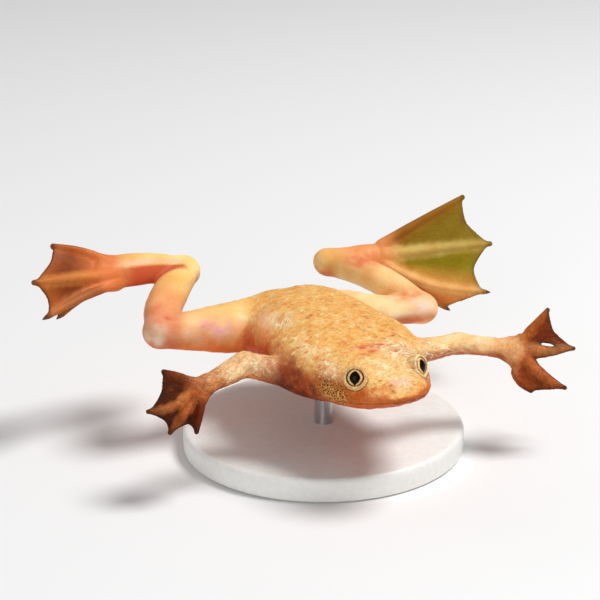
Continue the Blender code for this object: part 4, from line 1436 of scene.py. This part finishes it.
def makeSkinMaterial():
    material, tree, shader = newMaterial("golden frog skin")
    place = addNode(tree, "ShaderNodeTexCoord").outputs["Object"]
    base = addNode(tree, "ShaderNodeAttribute", {"attribute_name": "skinColour"}).outputs["Color"]
    maskColour = addNode(tree, "ShaderNodeAttribute", {"attribute_name": "skinMasks"}).outputs["Color"]
    mottled, pored, wrinkled = addNode(tree, "ShaderNodeSeparateColor", i0=maskColour).outputs
    markColour = addNode(tree, "ShaderNodeAttribute", {"attribute_name": "fineMarks"}).outputs["Color"]
    netted, glinting, lined = addNode(tree, "ShaderNodeSeparateColor", i0=markColour).outputs
    flow = addNode(tree, "ShaderNodeAttribute", {"attribute_name": "webFlow"}).outputs["Vector"]
    web = addNode(tree, "ShaderNodeAttribute", {"attribute_name": "webShare"}).outputs["Fac"]
    # pale mottling and ruddy clouds
    drawn = addNode(tree, "ShaderNodeMapping", Vector=place, Scale=(0.70, 1.0, 0.65)).outputs[0]
    size = skinFinish["mottleScale"]
    cloud = addNode(tree, "ShaderNodeTexNoise", Vector=drawn, Scale=size, Detail=5.0, Roughness=0.65)
    pale = stretchRange(tree, cloud.outputs["Fac"], 0.53, 0.61)
    colour = mixColours(tree, multiply(tree, pale, mottled, 0.85), base, rgba(skinFinish["mottleColour"]))
    ruddy = stretchRange(tree, cloud.outputs["Fac"], 0.46, 0.33)
    colour = mixColours(tree, multiply(tree, ruddy, mottled, 0.75), colour, rgba(skinFinish["ruddyColour"]))
    # fine light and dark grain, and pores
    speckle = useGroup(tree, fineGrain, Vector=drawn, Scale=skinFinish["grainScale"])["Mask"]
    grainShare = multiply(tree, speckle, pored, 0.75)
    colour = mixColours(tree, grainShare, colour, skinFinish["grainTint"], "MULTIPLY")
    poreSizes = {"Scale": skinFinish["poreScale"], "Size": skinFinish["poreSize"]}
    pores = useGroup(tree, scatteredDots, Vector=drawn, **poreSizes)["Mask"]
    poreShare = multiply(tree, pores, pored)
    colour = mixColours(tree, multiply(tree, poreShare, 0.75), colour, rgba(skinFinish["poreColour"]))
    # gold net of the cheeks: the walls between cells
    toEdge = {"feature": "DISTANCE_TO_EDGE"}
    cells = addNode(tree, "ShaderNodeTexVoronoi", toEdge, Vector=place, Scale=skinFinish["netScale"])
    walls = stretchRange(tree, cells.outputs["Distance"], 0.20, 0.04)
    darkNet, goldNet = skinFinish["netColours"]
    net = mixColours(tree, walls, rgba(darkNet), rgba(goldNet))
    colour = mixColours(tree, multiply(tree, netted, 0.85), colour, net)
    # wrinkles of the arms and of the webs, these along the digits
    armCrinkle = useGroup(tree, crinkles, Vector=drawn, Scale=1000.0, Width=0.7)
    webCrinkle = useGroup(tree, crinkles, Vector=flow, Scale=1.3)
    dry = calculate(tree, "SUBTRACT", 1.0, web)
    webCreases = multiply(tree, webCrinkle["Creases"], web)
    creases = calculate(tree, "ADD", webCreases, multiply(tree, armCrinkle["Creases"], dry, 0.8))
    crease = multiply(tree, creases, wrinkled)
    colour = mixColours(tree, multiply(tree, crease, 0.55), colour, rgba(skinFinish["wrinkleColour"]))
    # cream lines, and glints: painted highlights, pale dots in the base colour
    lineFlow = addNode(tree, "ShaderNodeAttribute", {"attribute_name": "lineFlow"}).outputs["Vector"]
    lineSizes = {"Scale": skinFinish["lineScale"], "Width": skinFinish["lineWidth"]}
    lineCrinkle = useGroup(tree, crinkles, Vector=lineFlow, **lineSizes)
    line = multiply(tree, lineCrinkle["Creases"], lined)
    colour = mixColours(tree, multiply(tree, line, 0.9), colour, rgba(skinFinish["lineColour"]))
    glintSizes = {"Scale": skinFinish["glintScale"], "Size": 0.56, "Patches": 1400.0}
    glints = useGroup(tree, scatteredDots, Vector=place, **glintSizes)["Mask"]
    glint = multiply(tree, glints, glinting)
    colour = mixColours(tree, multiply(tree, glint, 0.9), colour, rgba(skinFinish["glintColour"]))
    tree.links.new(colour, shader.inputs["Base Color"])
    # wet satin
    grain = useGroup(tree, fineGrain, Vector=place, Scale=1600.0)
    rough = addNode(tree, "ShaderNodeMapRange", Value=grain["Mask"])
    rough.inputs["To Min"].default_value, rough.inputs["To Max"].default_value = skinFinish["roughness"]
    tree.links.new(rough.outputs[0], shader.inputs["Roughness"])
    height = calculate(tree, "ADD", multiply(tree, grain["Height"], 0.6), multiply(tree, glint, 0.2))
    height = calculate(tree, "SUBTRACT", height, multiply(tree, crease, 0.5))
    height = calculate(tree, "ADD", height, multiply(tree, line, 0.10))
    height = calculate(tree, "ADD", height, multiply(tree, pale, mottled, 0.35))
    height = calculate(tree, "ADD", height, multiply(tree, walls, netted, 0.35))
    bump = addNode(tree, "ShaderNodeBump", Height=height, Strength=0.7, Distance=skinFinish["bump"])
    tree.links.new(bump.outputs[0], shader.inputs["Normal"])
    shader.subsurface_method = "RANDOM_WALK"
    shader.inputs["Subsurface Weight"].default_value = skinFinish["subsurface"]
    shader.inputs["Subsurface Radius"].default_value = skinFinish["radius"]
    shader.inputs["Subsurface Scale"].default_value = skinFinish["radiusScale"]
    shader.inputs["Specular IOR Level"].default_value = skinFinish["specular"]
    shader.inputs["Specular Tint"].default_value = rgba(skinFinish["specularTint"])
    shader.inputs["Coat Weight"].default_value = skinFinish["coat"]
    shader.inputs["Coat Roughness"].default_value = 0.15
    return material


fleshNodes = ["head", "torso"]
for side in ("left", "right"):
    fleshNodes += [part + side for part in ("upper_arm_", "forearm_", "hand_", "thigh_", "shank_", "foot_")]
skin.data.materials.append(makeSkinMaterial())
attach(skin, "root")
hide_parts(*fleshNodes)

# Eyeballs: a ball on rings round its axis, with the pupil, a thin pale ring and a dark one painted on
eyeShape = {
    "rings": 90,
    "sides": 144,
    "pupil": (0.59, 0.72),
    "pupilPower": 1.65,
    "tail": (0.12, 0.20),
    "paleRing": (1.44, 1.38),
    "ringRise": 0.02,
    "flatness": 0.80,
}
eyeColours = {
    "pupil": (8, 6, 7),
    "pale": (255, 210, 142),
    "dark": (146, 88, 48),
    "outer": (188, 118, 64),
}


# A ball about the eye's axis: ring angle from the axis by turn about it. The pupil's edge is where
# |u / half width| ^ power + |v / half height| ^ power is 1, v being measured up the eye.
def makeEye(side):
    centre, axis = eyeFrame(side)
    radius = faceShape["eyeRadius"]
    sideways = unit(np.cross((0.0, 0.0, 1.0), axis))
    upward = np.cross(axis, sideways)
    rings, sides = eyeShape["rings"], eyeShape["sides"]
    angle = np.linspace(0, math.pi, rings + 1)[1:-1] ** 1.25
    angle = angle / angle[-1] * (math.pi * (1 - 1 / rings))
    turn = np.arange(sides) / sides * 2 * math.pi
    angle, turn = np.meshgrid(angle, turn, indexing="ij")
    u = radius * np.sin(angle) * np.cos(turn)
    v = radius * np.sin(angle) * np.sin(turn)
    w = radius * np.cos(angle) * np.where(angle < math.pi / 2, eyeShape["flatness"], 1.0)
    u, v, w = (np.concatenate([[0.0], part.ravel(), [0.0]]) for part in (u, v, w))
    w[0], w[-1] = radius * eyeShape["flatness"], -radius
    power = eyeShape["pupilPower"]
    halfWidth, halfHeight = eyeShape["pupil"]
    number = (np.abs(u / halfWidth) ** power + np.abs(v / halfHeight) ** power) ** (1 / power)
    tailWidth, tailDepth = eyeShape["tail"]
    tail = np.exp(-((u / tailWidth) ** 2)) * (v < 0) * tailDepth
    number = number - tail * easeStep(0.6, 1.1, number)
    front = w > 0
    ringEnd, ringFade = eyeShape["paleRing"]
    pale = easeStep(1.00, 1.06, number) * easeStep(ringEnd, ringFade, number) * front
    dark = easeStep(ringFade, ringEnd, number)
    colour = np.tile(linear(eyeColours["pupil"]), (len(u), 1))
    colour = blendColour(colour, linear(eyeColours["dark"]), dark)
    colour = blendColour(colour, linear(eyeColours["pale"]), pale)
    colour = blendColour(colour, linear(eyeColours["outer"]), easeStep(1.00, 1.10, np.hypot(u, v)) * front)
    lift = 1 + pale * eyeShape["ringRise"] / radius
    u, v, w = (part[:, None] * lift[:, None] for part in (u, v, w))
    places = centre + (u * sideways + v * upward + w * axis)
    ring = np.arange(rings - 1)[:-1, None] * sides + 1
    one = np.arange(sides)[None, :]
    two = (one + 1) % sides
    body = np.stack([ring + one, ring + sides + one, ring + sides + two, ring + two], -1)
    last = 1 + (rings - 2) * sides
    top = [[0, 1 + i, 1 + (i + 1) % sides] for i in range(sides)]
    end = [[len(u) - 1, last + (i + 1) % sides, last + i] for i in range(sides)]
    eye = meshObject("eye_ball_" + side, places, body.reshape(-1, 4).tolist() + top + end)
    addAttribute(eye, "eyeColour", "FLOAT_COLOR", colour)
    return eye


def makeEyeMaterial():
    material, tree, shader = newMaterial("glossy eye")
    place = addNode(tree, "ShaderNodeTexCoord").outputs["Object"]
    base = addNode(tree, "ShaderNodeAttribute", {"attribute_name": "eyeColour"}).outputs["Color"]
    grain = useGroup(tree, fineGrain, Vector=place, Scale=5000.0)
    shade = calculate(tree, "MULTIPLY", grain["Mask"], 0.35)
    tree.links.new(mixColours(tree, shade, base, (0.02, 0.01, 0.005, 1.0)), shader.inputs["Base Color"])
    rough = addNode(tree, "ShaderNodeMapRange", Value=grain["Mask"], To_Min=0.10, To_Max=0.16)
    tree.links.new(rough.outputs[0], shader.inputs["Roughness"])
    shader.inputs["Specular IOR Level"].default_value = 0.06
    shader.inputs["Coat Weight"].default_value = 0.04
    shader.inputs["Coat Roughness"].default_value = 0.04
    return material


eyeMaterial = makeEyeMaterial()
for side in ("left", "right"):
    eye = makeEye(side)
    eye.data.materials.append(eyeMaterial)
    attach(eye, "root")
    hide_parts("eye_" + side)
print("eyes made")

# Claws of the inner three toes of each foot
clawShape = {
    "toes": (2, 3, 4),
    "length": 1.15,
    "sink": 0.40,
    "radius": 0.33,
    "hook": 0.14,
    "taper": 2.2,
    "rings": 12,
    "sides": 20,
}


# A profile carried along a path that hooks a little under: the radius falls as the root of the rest
def makeClaws(side):
    fan = webs["foot" + side]
    rings, sides = clawShape["rings"], clawShape["sides"]
    along = np.linspace(0, 1, rings)
    turn = np.arange(sides) / sides * 2 * math.pi
    points = []
    faces = []
    for toe in clawShape["toes"]:
        bone = fan["bones"][toe]
        heading = bone["heading"][-1]
        root = bone["path"][-1] + heading * (bone["widths"][-1] * 0.4 - clawShape["sink"])
        radius = clawShape["radius"] * np.clip(1 - along ** clawShape["taper"], 0.004, 1)
        path = root + heading * (along * clawShape["length"])[:, None]
        path = path - fan["face"] * (clawShape["hook"] * along**2)[:, None]
        sideways = np.cos(turn)[:, None] * bone["across"][-1]
        upward = np.sin(turn)[:, None] * bone["normal"][-1]
        ring = path[:, None] + radius[:, None, None] * (sideways + upward)
        start = sum(len(part) for part in points)
        points.append(np.concatenate([ring.reshape(-1, 3), path[:1], path[-1:]]))
        row = start + np.arange(rings - 1)[:, None] * sides
        one = np.arange(sides)
        two = (one + 1) % sides
        walls = np.stack([row + one, row + two, row + sides + two, row + sides + one], -1)
        faces += walls.reshape(-1, 4).tolist()
        foot = np.full(sides, start + rings * sides)
        end = start + (rings - 1) * sides
        faces += np.stack([foot, start + two, start + one], -1).tolist()
        faces += np.stack([foot + 1, end + one, end + two], -1).tolist()
    claws = meshObject("claws_" + side, np.concatenate(points), faces)
    recalculateOutward(claws)
    return claws


def recalculateOutward(target):
    shape = bmesh.new()
    shape.from_mesh(target.data)
    bmesh.ops.recalc_face_normals(shape, faces=shape.faces)
    shape.to_mesh(target.data)
    shape.free()


def makeClawMaterial():
    material, tree, shader = newMaterial("dark claw")
    place = addNode(tree, "ShaderNodeTexCoord").outputs["Object"]
    grain = useGroup(tree, fineGrain, Vector=place, Scale=4000.0)
    colour = mixColours(tree, grain["Mask"], rgba((74, 40, 24)), rgba((110, 66, 38)))
    tree.links.new(colour, shader.inputs["Base Color"])
    rough = addNode(tree, "ShaderNodeMapRange", Value=grain["Mask"], To_Min=0.28, To_Max=0.42)
    tree.links.new(rough.outputs[0], shader.inputs["Roughness"])
    bump = addNode(tree, "ShaderNodeBump", Height=grain["Height"], Strength=0.3, Distance=0.00004)
    tree.links.new(bump.outputs[0], shader.inputs["Normal"])
    return material


clawMaterial = makeClawMaterial()
for side in ("left", "right"):
    claws = makeClaws(side)
    claws.data.materials.append(clawMaterial)
    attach(claws, "root")
    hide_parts("foot_" + side)
print("claws made")

# Stand: profiles turned about the upright through the origin, radius and height in millimetres
standShape = {
    "sides": 160,
    "base": (
        (0, 0), (15.6, 0), (16.7, 0.05), (16.95, 0.25), (17, 0.6),
        (17, 2.3), (16.9, 2.65), (16.7, 2.9), (16.4, 3), (0, 3),
    ),
    "rod": ((0, 2.6), (1.1, 2.6), (1.1, 9.2), (0.9, 9.4), (0, 9.4)),
}


# A profile turned about the upright: the ends on it are closed as poles
def turnProfile(name, profile):
    profile = np.array(profile, float)
    sides = standShape["sides"]
    turn = np.arange(sides) / sides * 2 * math.pi
    rim = profile[1:-1]
    ring = np.stack([
        rim[:, :1] * np.cos(turn),
        rim[:, :1] * np.sin(turn),
        np.repeat(rim[:, 1:], sides, 1),
    ], -1).reshape(-1, 3)
    points = np.concatenate([ring, [[0, 0, profile[0, 1]], [0, 0, profile[-1, 1]]]]) - axisPlace
    row = np.arange(len(rim) - 1)[:, None] * sides
    one = np.arange(sides)
    two = (one + 1) % sides
    walls = np.stack([row + one, row + two, row + sides + two, row + sides + one], -1)
    foot = np.full(sides, len(ring))
    last = (len(rim) - 1) * sides
    faces = walls.reshape(-1, 4).tolist()
    faces += np.stack([foot, two, one], -1).tolist()
    faces += np.stack([foot + 1, last + one, last + two], -1).tolist()
    turned = meshObject(name, points, faces)
    recalculateOutward(turned)
    turned.data.set_sharp_from_angle(angle=math.radians(40))
    return turned


standFinish = {
    "satin white plastic": {
        "colours": ((236, 235, 231), (240, 239, 236)),
        "rough": (0.42, 0.5),
        "metallic": 0.0,
        "scale": 1500.0,
        "bump": 0.00002,
    },
    "satin steel": {
        "colours": ((186, 187, 189), (190, 191, 193)),
        "rough": (0.30, 0.34),
        "metallic": 1.0,
        "scale": 2600.0,
        "bump": 0.000004,
    },
}


def makeStandMaterial(name):
    finish = standFinish[name]
    material, tree, shader = newMaterial(name)
    place = addNode(tree, "ShaderNodeTexCoord").outputs["Object"]
    grain = useGroup(tree, fineGrain, Vector=place, Scale=finish["scale"])
    dark, light = (rgba(colour) for colour in finish["colours"])
    tree.links.new(mixColours(tree, grain["Mask"], dark, light), shader.inputs["Base Color"])
    low, high = finish["rough"]
    spread = addNode(tree, "ShaderNodeMapRange", Value=grain["Mask"], To_Min=low, To_Max=high)
    tree.links.new(spread.outputs[0], shader.inputs["Roughness"])
    bump = addNode(tree, "ShaderNodeBump", Height=grain["Height"], Strength=0.4, Distance=finish["bump"])
    tree.links.new(bump.outputs[0], shader.inputs["Normal"])
    shader.inputs["Metallic"].default_value = finish["metallic"]
    return material


base = turnProfile("stand_disc", standShape["base"])
base.data.materials.append(makeStandMaterial("satin white plastic"))
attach(base, "root")
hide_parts("stand_base")
rod = turnProfile("stand_post", standShape["rod"])
rod.data.materials.append(makeStandMaterial("satin steel"))
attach(rod, "root")
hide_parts("stand_rod")
print("stand made")


# Floor, light and camera
stageSettings = {
    "floor": 2.5,
    "floorColour": (240, 240, 240),
    "worldStrength": 0.25,
    "lights": {
        "main": {"place": (0.24, -0.10, 0.52), "size": 0.24, "power": 2.9},
        "fill": {"place": (-0.30, -0.35, 0.12), "size": 0.30, "power": 0.6},
        "back": {"place": (-0.30, 0.45, 0.30), "size": 0.30, "power": 0.30},
    },
}
cameraSettings = {
    "azimuth": -26,
    "elevation": 21,
    "distance": 0.230,
    "target": (0.0, -0.004, 0.013),
    "lens": 117.3,
    "shift": (-0.0633, 0.0917),
}


def makeFloor():
    reach = stageSettings["floor"]
    mesh = bpy.data.meshes.new("floor")
    corners = [(-reach, -reach, 0), (reach, -reach, 0), (reach, reach, 0), (-reach, reach, 0)]
    mesh.from_pydata(corners, [], [(0, 1, 2, 3)])
    floor = bpy.data.objects.new("floor", mesh)
    bpy.context.scene.collection.objects.link(floor)
    material, _, shader = newMaterial("pale floor")
    shader.inputs["Base Color"].default_value = rgba(stageSettings["floorColour"])
    shader.inputs["Roughness"].default_value = 0.8
    mesh.materials.append(material)


def makeLights():
    world = bpy.data.worlds.new("pale room")
    world.use_nodes = True
    background = world.node_tree.nodes["Background"]
    background.inputs["Color"].default_value = (1.0, 1.0, 1.0, 1.0)
    background.inputs["Strength"].default_value = stageSettings["worldStrength"]
    bpy.context.scene.world = world
    aim = Vector((0.0, 0.0, 0.013))
    for name, settings in stageSettings["lights"].items():
        lamp = bpy.data.lights.new(name, "AREA")
        lamp.shape = "DISK"
        lamp.size = settings["size"]
        lamp.energy = settings["power"]
        light = bpy.data.objects.new(name, lamp)
        light.location = settings["place"]
        light.rotation_euler = (aim - light.location).to_track_quat("-Z", "Y").to_euler()
        bpy.context.scene.collection.objects.link(light)


def makeCamera():
    turn = math.radians(cameraSettings["azimuth"])
    rise = math.radians(cameraSettings["elevation"])
    back = Vector((math.sin(turn) * math.cos(rise), -math.cos(turn) * math.cos(rise), math.sin(rise)))
    lens = bpy.data.cameras.new("camera")
    lens.lens = cameraSettings["lens"]
    lens.shift_x, lens.shift_y = cameraSettings["shift"]
    lens.clip_start = 0.01
    camera = bpy.data.objects.new("camera", lens)
    camera.location = Vector(cameraSettings["target"]) + back * cameraSettings["distance"]
    camera.rotation_euler = (-back).to_track_quat("-Z", "Y").to_euler()
    bpy.context.scene.collection.objects.link(camera)
    bpy.context.scene.camera = camera


makeFloor()
makeLights()
makeCamera()
bpy.context.scene.view_settings.view_transform = "Standard"
print("stage, light and camera set")
